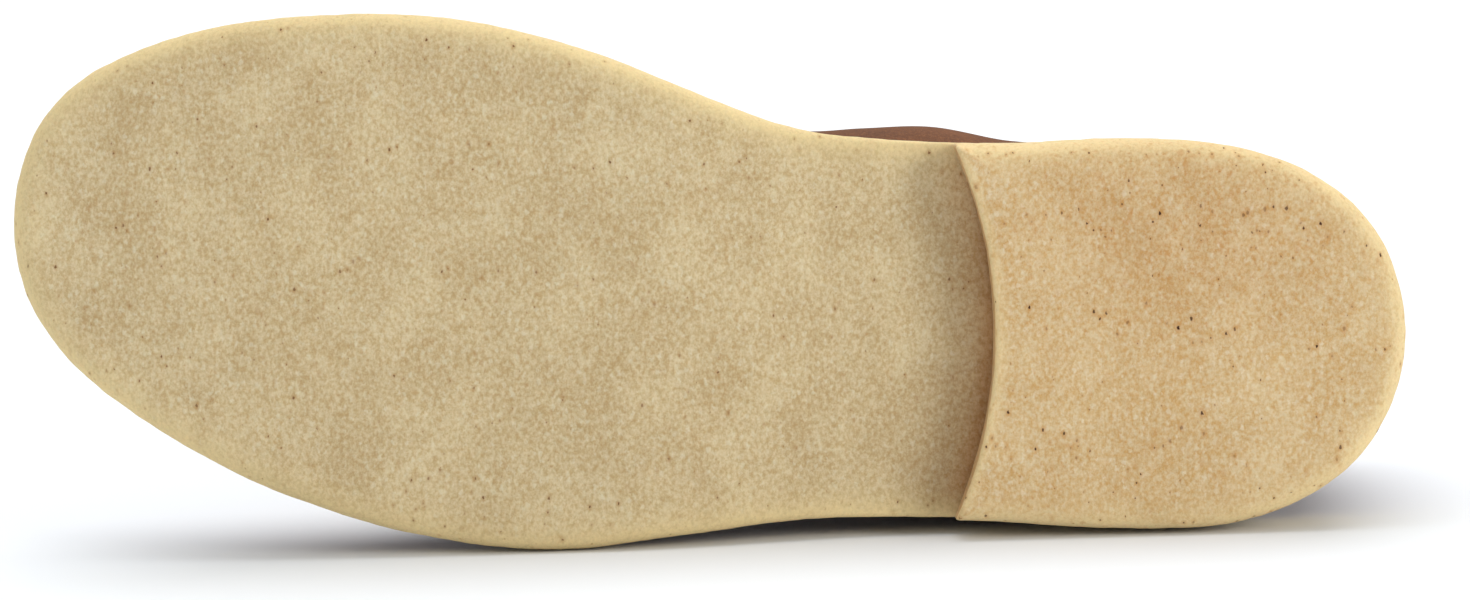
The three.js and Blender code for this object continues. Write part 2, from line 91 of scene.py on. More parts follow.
class Curve:
    """A smooth curve through the rows of a table."""

    def __init__(self, knots: Iterable[tuple[float, float]], period: float = 0.0) -> None:
        """Prepares the curve.

        Args:
            knots: pairs of a place and the value there, in rising order of place.
            period: length after which the curve repeats, or 0 for an open one.
        """
        points = np.array(list(knots), float)
        before = points[-2] - (period, 0) if period else points[0]
        after = points[1] + (period, 0) if period else points[-1]
        padded = np.vstack([before, points, after])
        self.at, self.to = points[:, 0], points[:, 1]
        self.slope = (padded[2:, 1] - padded[:-2, 1]) / (padded[2:, 0] - padded[:-2, 0])

    def __call__(self, value: Array) -> Array:
        """The curve's value at each place.

        Args:
            value: places along the curve.

        Returns:
            The values there.
        """
        v = np.clip(value, self.at[0], self.at[-1])
        i = np.clip(np.searchsorted(self.at, v, side="left") - 1, 0, len(self.at) - 2)
        width = self.at[i + 1] - self.at[i]
        a, b, c, d = cubic((v - self.at[i]) / width)
        start = a * self.to[i] + b * width * self.slope[i]
        return start + (c * self.to[i + 1] + d * width * self.slope[i + 1])


def smoothstep(value: Array, low: float, high: float) -> Array:
    """A soft step from 0 at low to 1 at high."""
    t = np.clip((value - low) / (high - low), 0, 1)
    return t * t * (3 - 2 * t)


def bell(value: Array, width: float) -> Array:
    """A soft bump of height 1 at 0 that has faded at about twice its width."""
    return np.exp(-((value / width) ** 2))


def between(a: Array, b: Array, share: Array) -> Array:
    """The value a share of the way from a to b."""
    return a + (b - a) * share


def solve(low: Array, high: Array, above: Callable[[Array], Array], steps: int = 36) -> Array:
    """The places between low and high from which on a test holds.

    Args:
        low: places where the test fails.
        high: places where it holds.
        above: the test, positive where it holds.
        steps: how often the interval is halved.

    Returns:
        The places where the test changes.
    """
    low, high = np.broadcast_arrays(np.asarray(low, float), np.asarray(high, float))
    low, high = low.copy(), high.copy()
    for _ in range(steps):
        middle = (low + high) / 2
        held = above(middle) > 0
        high = np.where(held, middle, high)
        low = np.where(held, low, middle)
    return (low + high) / 2


def rounded_line(knots: Array, steps: int = 24) -> Array:
    """Points on a centripetal Catmull-Rom line through some knots.

    Args:
        knots: the points that it goes through, one a row.
        steps: how many pieces each stretch between two knots is cut into.

    Returns:
        The line's points, one a row.
    """
    ends = np.vstack([2 * knots[0] - knots[1], knots, 2 * knots[-1] - knots[-2]])
    line = []
    for p0, p1, p2, p3 in zip(ends, ends[1:], ends[2:], ends[3:]):
        d0, d1, d2 = (math.sqrt(np.linalg.norm(b - a)) for a, b in ((p0, p1), (p1, p2), (p2, p3)))
        m1 = ((p1 - p0) / d0 - (p2 - p0) / (d0 + d1) + (p2 - p1) / d1) * d1
        m2 = ((p2 - p1) / d1 - (p3 - p1) / (d1 + d2) + (p3 - p2) / d2) * d1
        a, b, c, d = cubic(np.linspace(0, 1, steps, endpoint=False)[:, None])
        line.append(a * p1 + b * m1 + c * p2 + d * m2)
    return np.vstack([*line, knots[-1]])


def run_along(line: Array) -> Array:
    """Distance along a line at each of its points."""
    return np.concatenate([[0], np.cumsum(np.linalg.norm(np.diff(line, axis=0), axis=1))])


def rows_at(at: Array | float, run: Array, rows: Array) -> Array:
    """Points of a line, or other rows that go with it, at some distances along it."""
    return np.stack([np.interp(at, run, column) for column in rows.T], axis=-1)


class OutlineRow(NamedTuple):
    """Half widths of the sole as shares of its width, at a share of its length."""

    at: float
    outer: float
    inner: float


class SectionRow(NamedTuple):
    """A section of the last: its top line's climb and sway, its sides' swells and its fullness."""

    at: float
    climb: float
    sway: float
    inner_swell: float
    outer_swell: float
    full: float


OUTLINE = (
    OutlineRow(0, 0.031, -0.031),
    OutlineRow(0.02, 0.217, 0.167),
    OutlineRow(0.06, 0.323, 0.27),
    OutlineRow(0.12, 0.391, 0.328),
    OutlineRow(0.2, 0.413, 0.333),
    OutlineRow(0.3, 0.42, 0.303),
    OutlineRow(0.4, 0.44, 0.293),
    OutlineRow(0.45, 0.461, 0.304),
    OutlineRow(0.5, 0.488, 0.34),
    OutlineRow(0.6, 0.537, 0.422),
    OutlineRow(0.7, 0.523, 0.462),
    OutlineRow(0.8, 0.461, 0.445),
    OutlineRow(0.88, 0.371, 0.396),
    OutlineRow(0.95, 0.252, 0.305),
    OutlineRow(0.985, 0.137, 0.2),
    OutlineRow(1, -0.031, 0.031),
)

SECTIONS = (
    SectionRow(0, 4.6, -0.03, 0.012, 0.012, 1),
    SectionRow(0.1, 4, -0.035, 0.016, 0.014, 1),
    SectionRow(0.2, 3.1, -0.045, 0.018, 0.012, 1),
    SectionRow(0.28, 2.25, -0.05, 0.042, 0.008, 1),
    SectionRow(0.34, 1.72, -0.05, 0.073, 0.006, 1),
    SectionRow(0.39, 1.3, -0.048, 0.068, 0.004, 1),
    SectionRow(0.43, 1, -0.045, 0.052, 0.004, 0.98),
    SectionRow(0.48, 0.72, -0.035, 0.024, 0.004, 0.95),
    SectionRow(0.54, 0.5, -0.015, 0.012, 0.004, 0.92),
    SectionRow(0.61, 0.33, 0, 0.008, 0.006, 0.9),
    SectionRow(0.7, 0.19, 0.01, 0.006, 0.008, 0.88),
    SectionRow(0.79, 0.1, 0.015, 0.006, 0.008, 0.86),
    SectionRow(0.88, 0.015, 0.02, 0.006, 0.008, 0.84),
    SectionRow(1, -0.15, 0.02, 0.006, 0.008, 0.84),
)

# Height as a share of the shaft's, and how far the heel's back leans forward there, of its full lean.
HEEL_LINE = ((0, 0), (0.15, -0.28), (0.32, -0.38), (0.55, 0.05), (0.8, 0.75), (1, 1), (1.5, 1.2))

# The quarters' front edge: distance in front of the throat's base, of the vamp's length, and height.
QUARTER_FRONT = (
    (-0.01, 1.5),
    (0.03, 1.05),
    (0.055, 0.8),
    (0.04, 0.55),
    (-0.03, 0.3),
    (-0.13, 0.08),
    (-0.2, -0.35),
)

# The slit between the quarters: place along the facing, and its half width, of the throat's gap.
THROAT_EDGE = ((-0.3, 1.9), (-0.14, 1.25), (0, 0.62), (0.2, 0.46), (0.5, 0.5), (0.8, 0.66))

# The collar's line: place along the leg, of the collar's front, and height above its back or front.
COLLAR_LINE = ((0.2, -0.1, 0), (0.5, -0.2, 0), (0.8, -0.55, 1), (1.05, 0.1, 1), (1.4, 0.8, 1))


@dataclass(frozen=True)
class Last:
    """The last that the boot is made on, and the lines that its pieces are cut to."""

    length: float = 300 * MM
    width: float = 112 * MM
    outsole_thickness: float = 10 * MM
    heel_height: float = 11 * MM
    toe_spring: float = 9 * MM
    tread_from: float = 168 * MM
    tread_to: float = 214 * MM
    breast_at: float = 87.5 * MM
    breast_hollow: float = 8 * MM
    breast_skew: float = 5 * MM
    gap: float = 0.3 * MM
    flange_width: float = 6 * MM
    flange_thickness: float = 2 * MM
    toe_height: float = 32 * MM
    shaft_height: float = 96 * MM
    toe_pull: float = 30 * MM
    heel_lean: float = 6 * MM
    vamp_length: float = 126 * MM
    collar_dip: float = 9 * MM
    throat_gap: float = 11 * MM
    facing_corner: float = 9 * MM

    def __post_init__(self) -> None:
        """Works out the curves and the facing's place once."""
        keep = lambda name, value: object.__setattr__(self, name, value)
        turn_of = lambda at: math.acos(1 - 2 * at)
        outer = [(turn_of(r.at), -r.outer * self.width) for r in OUTLINE]
        inner = [(FULL_TURN - turn_of(r.at), r.inner * self.width) for r in reversed(OUTLINE[:-1])]
        keep("side_at", Curve([*outer, *inner], FULL_TURN))
        for name in ("climb", "sway", "inner_swell", "outer_swell", "full"):
            keep(f"{name}_at", Curve([(r.at, getattr(r, name)) for r in SECTIONS]))
        keep("lean_at", Curve(HEEL_LINE))
        keep("half_gap_at", Curve(THROAT_EDGE))
        keep("throat_station", self.length - self.vamp_length)
        collar = solve(np.array(0.0), np.array(self.length), lambda x: self.shaft_height - self.ridge(x))
        keep("collar_station", float(collar))
        side = float(self.sway_at((self.throat_station + self.collar_station) / 2 / self.length)) * self.width
        top = lambda x: np.array([x, side, float(self.seat(x) + self.ridge(x))])
        keep("throat_base", top(self.throat_station))
        keep("collar_front", top(self.collar_station))
        run = self.collar_front - self.throat_base
        keep("facing_length", float(np.linalg.norm(run)))
        keep("along", run / self.facing_length)
        keep("across", np.array([0.0, -1.0, 0.0]))
        keep("outwards", np.cross(self.along, self.across))
        front, back = self.collar_front[2], self.collar_front[2] - self.collar_dip
        knots = [(-self.heel_lean, back + self.collar_dip * 0.1)]
        for along, up, forward in COLLAR_LINE:
            knots.append((self.collar_station * along, (front if forward else back) + self.collar_dip * up))
        keep("collar_line", rounded_line(np.array(knots)))
        height, foot = float(self.ridge(self.throat_station)), float(self.seat(self.throat_station))
        rows = [(self.throat_station + a * self.vamp_length, foot + u * height) for a, u in QUARTER_FRONT]
        keep("front_line", rounded_line(np.array(rows))[::-1])

    def station(self, turn: Array) -> Array:
        """Place along the sole for a turn of the outline: 0 at the heel, half a turn at the toe."""
        return self.length * (1 - np.cos(turn)) / 2

    def turn_at(self, x: float, side: Side) -> float:
        """The turn at which the outline passes a place along the sole, on one side."""
        return side.turned(math.acos(1 - 2 * min(max(x / self.length, 0), 1)))

    def edge(self, turn: Array, inset: Array | float = 0.0) -> tuple[Array, Array, Array, Array]:
        """The sole's edge moved inwards.

        Args:
            turn: places round the outline.
            inset: how far it is moved inwards.

        Returns:
            x and y of the points, and x and y of the outward normal.
        """
        step = 0.01
        dx = self.station(turn + step) - self.station(turn - step)
        dy = self.side_at((turn + step) % FULL_TURN) - self.side_at((turn - step) % FULL_TURN)
        size = np.hypot(dx, dy)
        nx, ny = dy / size, -dx / size
        return self.station(turn) - nx * inset, self.side_at(turn % FULL_TURN) - ny * inset, nx, ny

    def spine(self, turn: Array, heel: float) -> tuple[Array, Array]:
        """The line down the sole's middle that its rings close on, from a distance off the heel's back."""
        x = heel + self.station(turn) * (self.length - 2 * heel - 4 * MM) / self.length
        return x, (self.side_at(turn) + self.side_at(FULL_TURN - turn)) / 2

    @property
    def waist_from(self) -> float:
        """Where the outsole's underside begins to fall from the heel to the tread."""
        return self.breast_at + self.breast_hollow + self.breast_skew

    def underside(self, x: Array) -> Array:
        """Height of the outsole's underside.

        Args:
            x: places along the sole.

        Returns:
            Heights above the tread.
        """
        down = smoothstep(x, self.waist_from, self.tread_from)
        spring = np.maximum(0, (x - self.tread_to) / (self.length - self.tread_to))
        return self.heel_height * (1 - down) + self.toe_spring * spring**2

    def seat(self, x: Array) -> Array:
        """Height at which the upper sits on the outsole."""
        return self.underside(x) + self.outsole_thickness + self.gap

    def ridge(self, x: Array) -> Array:
        """Height of the last's top line above the seat."""
        return self.toe_height + (self.shaft_height - self.toe_height) * self.climb_at(x / self.length)

    def ridge_point(self, station: Array, inset: Array | float) -> tuple[Array, Array, Array, Array]:
        """The top line's point for a station of the edge, and how steeply it falls towards the toe.

        Args:
            station: places along the edge.
            inset: how far it is moved inwards.

        Returns:
            x, y and z of the points, and the fall.
        """
        towards = smoothstep(station, self.length / 2, self.length)
        x = station - self.toe_pull * towards
        step = MM
        rise = self.ridge(x + step) + self.seat(x + step) - self.ridge(x - step) - self.seat(x - step)
        size = np.hypot(rise, 2 * step)
        z = self.seat(x) + self.ridge(x) - 2 * step / size * inset
        y = self.sway_at(x / self.length) * self.width
        return x + rise / size * inset, y, z, rise / (2 * step) * towards

    def surface(self, turn: Array, rise: Array, inset: Array | float = 0.0) -> Array:
        """Points of the last's surface.

        Args:
            turn: places round the edge.
            rise: 0 at the feather line to 1 at the top line.
            inset: how far the whole surface is moved inwards.

        Returns:
            The points, with x, y and z on the last axis.
        """
        station = self.station(turn)
        foot_x, foot_y, nx, ny = self.edge(turn, self.flange_width + inset)
        top_x, top_y, top_z, fall = self.ridge_point(station, inset)
        base = self.seat(station) + self.flange_thickness
        full = self.full_at(station / self.length)
        angle = rise * math.pi / 2
        up = np.sin(angle) ** full
        inwards = 1 - np.clip(np.cos(angle), 0, 1) ** full
        z = base + (top_z + fall * (foot_x - top_x) * (1 - inwards) - base) * up
        share = (z - base) / np.minimum(self.shaft_height, top_z - base)
        swells = np.where(
            np.asarray(turn) > HALF_TURN,
            self.inner_swell_at(station / self.length),
            self.outer_swell_at(station / self.length),
        )
        bump = np.where(share < 1, np.sin(math.pi * np.clip(share, 0, 1) ** 0.75), 0)
        back = np.maximum(0, 1 - station / self.breast_at) ** 2
        lean = self.heel_lean * self.lean_at((z - base) / self.shaft_height) * back
        x = foot_x + (top_x - foot_x) * inwards + nx * swells * self.width * bump + lean
        y = foot_y + (top_y - foot_y) * inwards + ny * swells * self.width * bump
        return np.stack(np.broadcast_arrays(x, y, z), axis=-1)

    def normal(self, turn: Array, rise: Array, inset: Array | float = 0.0) -> Array:
        """Outward normals of the last's surface.

        Args:
            turn: places round the edge.
            rise: 0 at the feather line to 1 at the top line.
            inset: how far the surface is moved inwards.

        Returns:
            The normals, each of length 1.
        """
        step = 0.002
        low, high = np.clip(rise - step, 0, 1), np.clip(rise + step, 0, 0.999)
        low = np.minimum(low, high - step)
        across = self.surface(turn + step, rise, inset) - self.surface(turn - step, rise, inset)
        up = self.surface(turn, high, inset) - self.surface(turn, low, inset)
        made = np.cross(across, up)
        return made / np.maximum(np.linalg.norm(made, axis=-1, keepdims=True), 1e-12)

    def in_facing(self, point: Array) -> tuple[Array, Array]:
        """Place along the facing and distance across the boot of some points."""
        return (point - self.throat_base) @ self.along, (point - self.throat_base) @ self.across

    def half_gap(self, place: Array) -> Array:
        """Half width of the slit between the quarters."""
        return self.throat_gap * self.half_gap_at(place / self.facing_length)

    def past_collar(self, point: Array) -> Array:
        """How far points lie above the collar's line or in the slit, with the facings' rounded corners.

        Args:
            point: places on the leather.

        Returns:
            The distances, positive where it is cut away.
        """
        place, sideways = self.in_facing(point)
        above = point[..., 2] - np.interp(point[..., 0], self.collar_line[:, 0], self.collar_line[:, 1])
        inside = (place > -0.3 * self.facing_length) & (place < self.facing_length + 3 * self.facing_corner)
        inside &= (point - self.throat_base) @ self.outwards > -self.toe_height / 2
        slit = np.where(inside, self.half_gap(place) - np.abs(sideways), -1)
        near = self.facing_corner
        rounded = np.hypot(np.maximum(above + near, 0), np.maximum(slit + near, 0)) - near
        return np.where(np.maximum(above, slit) > -near, rounded, np.maximum(above, slit))

    def past_front(self, point: Array) -> Array:
        """How far points lie in front of the quarters' front edge."""
        return point[..., 0] - np.interp(point[..., 2], self.front_line[:, 1], self.front_line[:, 0])


@dataclass(frozen=True)
class Stance:
    """The way the boot lies: on its outer side, as its mounts say."""

    heel_tread: tuple[float, float, float] = (45 * MM, -4 * MM, 0.0)
    forefoot_tread: tuple[float, float, float] = (190 * MM, -5 * MM, 0.0)

    def matrix(self, record: dict) -> Matrix:
        """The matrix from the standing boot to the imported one.

        Args:
            record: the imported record, whose two mounts lie on the tread.

        Returns:
            The 4x4 matrix.
        """
        mounts = {m["name"]: m for m in record["mounts"]}
        heel = Vector(mounts["heel_tread"]["pos_m"])
        ahead = (Vector(mounts["forefoot_tread"]["pos_m"]) - heel).normalized()
        up = -Vector(mounts["heel_tread"]["axis"]).normalized()
        left = up.cross(ahead).normalized()
        ahead = left.cross(up)
        run = Vector(self.forefoot_tread) - Vector(self.heel_tread)
        slant = math.atan2(run.y, run.x)
        x_axis = ahead * math.cos(slant) - left * math.sin(slant)
        y_axis = ahead * math.sin(slant) + left * math.cos(slant)
        origin = heel - x_axis * self.heel_tread[0] - y_axis * self.heel_tread[1]
        turned = Matrix((x_axis, y_axis, up)).transposed().to_4x4()
        return Matrix.Translation(origin) @ turned


def positions(bm: bmesh.types.BMesh) -> Array:
    """The places of a bmesh's vertices, one a row."""
    return np.array([v.co[:] for v in bm.verts])


def move_to(bm: bmesh.types.BMesh, points: Array) -> None:
    """Puts a bmesh's vertices at the given places."""
    for vert, point in zip(bm.verts, points):
        vert.co = point


def lattice(columns: int, rows: int, place: Place) -> bmesh.types.BMesh:
    """A grid laid over a surface.

    Args:
        columns: how many faces it has along u.
        rows: how many faces it has along v.
        place: gives the points for arrays of u and v, both from 0 to 1.

    Returns:
        The laid grid, with u and v in its UV layer.
    """
    bm = bmesh.new()
    bmesh.ops.create_grid(bm, x_segments=columns, y_segments=rows, size=0.5)
    flat = positions(bm)
    u, v = flat[:, 0] + 0.5, flat[:, 1] + 0.5
    layer = bm.loops.layers.uv.new("UVMap")
    bm.verts.index_update()
    for face in bm.faces:
        for loop in face.loops:
            i = loop.vert.index
            loop[layer].uv = (u[i], v[i])
    move_to(bm, place(u, v))
    return bm


def close_up(bm: bmesh.types.BMesh, weld: float) -> None:
    """Merges the doubles of a closed body and turns its faces outwards."""
    bmesh.ops.remove_doubles(bm, verts=bm.verts, dist=weld)
    bmesh.ops.recalc_face_normals(bm, faces=bm.faces)


def face_away(bm: bmesh.types.BMesh, inside: Vector) -> None:
    """Turns the faces of an open sheet outwards, after its doubles are merged.

    Args:
        bm: the sheet.
        inside: a point on its inner side.
    """
    bm.normal_update()
    lean = sum(f.normal.dot(f.calc_center_median() - inside) * f.calc_area() for f in bm.faces)
    if lean < 0:
        bmesh.ops.reverse_faces(bm, faces=bm.faces)


def pour(part: bmesh.types.BMesh, whole: bmesh.types.BMesh) -> None:
    """Moves everything in one bmesh into another.

    Args:
        part: the bmesh that is emptied.
        whole: the one that takes it up.
    """
    held = bpy.data.meshes.new("held")
    part.to_mesh(held)
    whole.from_mesh(held)
    bpy.data.meshes.remove(held)
    part.clear()


def keep_values(bm: bmesh.types.BMesh, values: dict[str, Array]) -> None:
    """Writes numbers into a bmesh's vertex layers, so that they outlast merging.

    Args:
        bm: the mesh.
        values: numbers by layer name, one a vertex.
    """
    bm.verts.index_update()
    layers = {key: bm.verts.layers.float.new(key) for key in values}
    for vert in bm.verts:
        for key, numbers in values.items():
            vert[layers[key]] = float(numbers[vert.index])


def soft_noise(points: Array, size: float, seed: float = 0.0) -> Array:
    """Smooth noise between about -1 and 1, with waves of a size and a pattern of a seed."""
    shift = Vector((seed, seed * 1.7, -seed))
    return np.array([noise.noise(Vector(p) / size + shift) for p in points])


@dataclass
class Workshop:
    """Turns finished bmeshes into pieces that ride on the boot's body."""

    stance: Matrix

    def piece(
        self,
        name: str,
        bm: bmesh.types.BMesh,
        finishes: Iterable[bpy.types.Material],
        slot: str,
        node: str | None = None,
    ) -> bpy.types.Object:
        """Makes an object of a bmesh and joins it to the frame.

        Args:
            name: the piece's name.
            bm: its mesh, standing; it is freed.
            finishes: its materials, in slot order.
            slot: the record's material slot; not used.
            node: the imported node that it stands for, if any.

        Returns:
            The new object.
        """
        mesh = bpy.data.meshes.new(name)
        bm.to_mesh(mesh)
        bm.free()
        mesh.transform(self.stance)
        for finish in finishes:
            mesh.materials.append(finish)
        mesh.polygons.foreach_set("use_smooth", np.ones(len(mesh.polygons), bool))
        mesh.update()
        piece = bpy.data.objects.new(name, mesh)
        bpy.context.scene.collection.objects.link(piece)
        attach(piece, "root")
        if node:
            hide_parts(node)
        return piece


def wall(piece: bpy.types.Object, thickness: float) -> None:
    """Gives a sheet its thickness inwards, with a lining, cut edges and a slight rounding.

    Args:
        piece: the sheet, with the materials of its outer face, lining and cut edge.
        thickness: of the leather.
    """
    shell = piece.modifiers.new("thickness", "SOLIDIFY")
    shell.thickness = thickness
    shell.offset = -1
    shell.material_offset = 1
    shell.material_offset_rim = 2
    edge = piece.modifiers.new("edge", "BEVEL")
    edge.width = 0.3 * MM
    edge.segments = 2
    edge.limit_method = "ANGLE"
    edge.angle_limit = math.radians(50)


def tone(red: int, green: int, blue: int) -> Colour:
    """A colour given as it looks on a screen, from 0 to 255, as the shader wants it."""
    return (*(((c / 255 + 0.055) / 1.055) ** 2.4 if c > 10 else c / 3295 for c in (red, green, blue)), 1.0)


class Graph:
    """A node tree that is being built."""

    def __init__(self, tree: bpy.types.NodeTree) -> None:
        """Keeps the tree."""
        self.tree = tree

    def node(self, kind: str, inputs: dict | None = None, **settings) -> bpy.types.Node:
        """Adds a node.

        Args:
            kind: its type.
            inputs: values or sockets by input name or number.
            **settings: its own settings.

        Returns:
            The node.
        """
        made = self.tree.nodes.new(kind)
        for key, value in settings.items():
            setattr(made, key, value)
        for key, value in (inputs or {}).items():
            socket = made.inputs[key]
            if isinstance(value, bpy.types.NodeSocket):
                self.tree.links.new(value, socket)
            else:
                socket.default_value = value
        return made

    def place(self) -> Socket:
        """The Object coordinates."""
        return self.node("ShaderNodeTexCoord").outputs["Object"]

    def value(self, name: str) -> Socket:
        """An attribute of the piece."""
        return self.node("ShaderNodeAttribute", attribute_name=name).outputs["Fac"]

    def math(self, operation: str, a: Value, b: Value = 0.0, clamp: bool = False) -> Socket:
        """A sum, product or other operation on two values."""
        return self.node("ShaderNodeMath", {0: a, 1: b}, operation=operation, use_clamp=clamp).outputs[0]

    def plus(self, a: Value, b: Value) -> Socket:
        """A sum."""
        return self.math("ADD", a, b)

    def times(self, a: Value, b: Value) -> Socket:
        """A product."""
        return self.math("MULTIPLY", a, b)

    def noise(self, vector: Socket, scale: Value, detail: float = 2.0, roughness: float = 0.5) -> Socket:
        """Noise from 0 to 1."""
        inputs = {"Vector": vector, "Scale": scale, "Detail": detail, "Roughness": roughness}
        return self.node("ShaderNodeTexNoise", inputs).outputs["Fac"]

    def cells(self, vector: Socket, scale: Value, feature: str = "F1") -> bpy.types.Node:
        """Voronoi cells."""
        return self.node("ShaderNodeTexVoronoi", {"Vector": vector, "Scale": scale}, feature=feature)

    def stretch(self, vector: Socket, scale: tuple[float, float, float], turn: float = 0.0) -> Socket:
        """Coordinates scaled unevenly and turned about y.

        Args:
            vector: the coordinates.
            scale: along each axis.
            turn: about y, in radians.

        Returns:
            The new coordinates.
        """
        mapping = self.node("ShaderNodeMapping", {"Vector": vector})
        mapping.inputs["Scale"].default_value = scale
        mapping.inputs["Rotation"].default_value = (0, turn, 0)
        return mapping.outputs[0]

    def step(self, value: Socket, low: Value, high: Value, to: tuple = (0.0, 1.0)) -> Socket:
        """A soft step of a value, from low to high, to a new range.

        Args:
            value: what is stepped.
            low: where the step starts.
            high: where it ends.
            to: what it gives at both ends.

        Returns:
            The stepped value.
        """
        inputs = {"Value": value, "From Min": low, "From Max": high, "To Min": to[0], "To Max": to[1]}
        node = self.node("ShaderNodeMapRange", inputs, interpolation_type="SMOOTHSTEP")
        return node.outputs["Result"]

    def blend(self, share: Value, a: Socket | Colour, b: Socket | Colour, mode: str = "MIX") -> Socket:
        """A mix of two colours."""
        node = self.node("ShaderNodeMix", {0: share, 6: a, 7: b}, data_type="RGBA", blend_type=mode)
        return node.outputs[2]

    def shade(self, colour: Socket, amount: Value) -> Socket:
        """A colour or another vector times a number."""
        return self.node("ShaderNodeVectorMath", {0: colour, "Scale": amount}, operation="SCALE").outputs[0]

    def moved(self, vector: Socket, by: Socket | tuple[float, float, float]) -> Socket:
        """Coordinates moved by a vector."""
        return self.node("ShaderNodeVectorMath", {0: vector, 1: by}, operation="ADD").outputs[0]

    def warped(self, vector: Socket, scale: Value, reach: float, detail: float = 1.0) -> Socket:
        """Coordinates pushed about by noise."""
        inputs = {"Vector": vector, "Scale": scale, "Detail": detail}
        return self.moved(vector, self.shade(self.node("ShaderNodeTexNoise", inputs).outputs["Color"], reach))

    def give(self, out: bpy.types.Node, **made: Socket) -> None:
        """Links what a group has made to its output node."""
        for key, socket in made.items():
            self.tree.links.new(socket, out.inputs[key])

    def bump(
        self, height: Socket, depth: float, strength: float = 1.0, below: Socket | None = None
    ) -> Socket:
        """A normal bent by a height.

        Args:
            height: the relief.
            depth: of the relief at its full height.
            strength: how much of it shows.
            below: a normal that it is added to, if any.

        Returns:
            The normal.
        """
        inputs: dict = {"Height": height, "Distance": depth, "Strength": strength}
        if below is not None:
            inputs["Normal"] = below
        return self.node("ShaderNodeBump", inputs).outputs["Normal"]

    def group(self, kind: bpy.types.NodeTree, inputs: dict) -> bpy.types.Node:
        """A shared group with this material's own values.

        Args:
            kind: the group's tree.
            inputs: values or sockets by input name.

        Returns:
            The group's node.
        """
        made = self.tree.nodes.new("ShaderNodeGroup")
        made.node_tree = kind
        for key, value in inputs.items():
            if isinstance(value, bpy.types.NodeSocket):
                self.tree.links.new(value, made.inputs[key])
            else:
                made.inputs[key].default_value = value
        return made

    def surface(self, constants: dict, **linked: Socket) -> None:
        """Ends a material in one Principled BSDF.

        Args:
            constants: plain values by socket name.
            **linked: sockets for Base_Color, Roughness, Normal or Alpha.
        """
        shader = self.node("ShaderNodeBsdfPrincipled")
        for key, value in constants.items():
            shader.inputs[key].default_value = value
        for key, socket in linked.items():
            self.tree.links.new(socket, shader.inputs[key.replace("_", " ")])
        output = self.node("ShaderNodeOutputMaterial")
        self.tree.links.new(shader.outputs[0], output.inputs["Surface"])


def new_material(name: str) -> tuple[bpy.types.Material, Graph]:
    """An empty node material and its graph.

    Args:
        name: of the material.

    Returns:
        The material and its graph.
    """
    made = bpy.data.materials.new(name)
    made.use_nodes = True
    made.node_tree.nodes.clear()
    return made, Graph(made.node_tree)


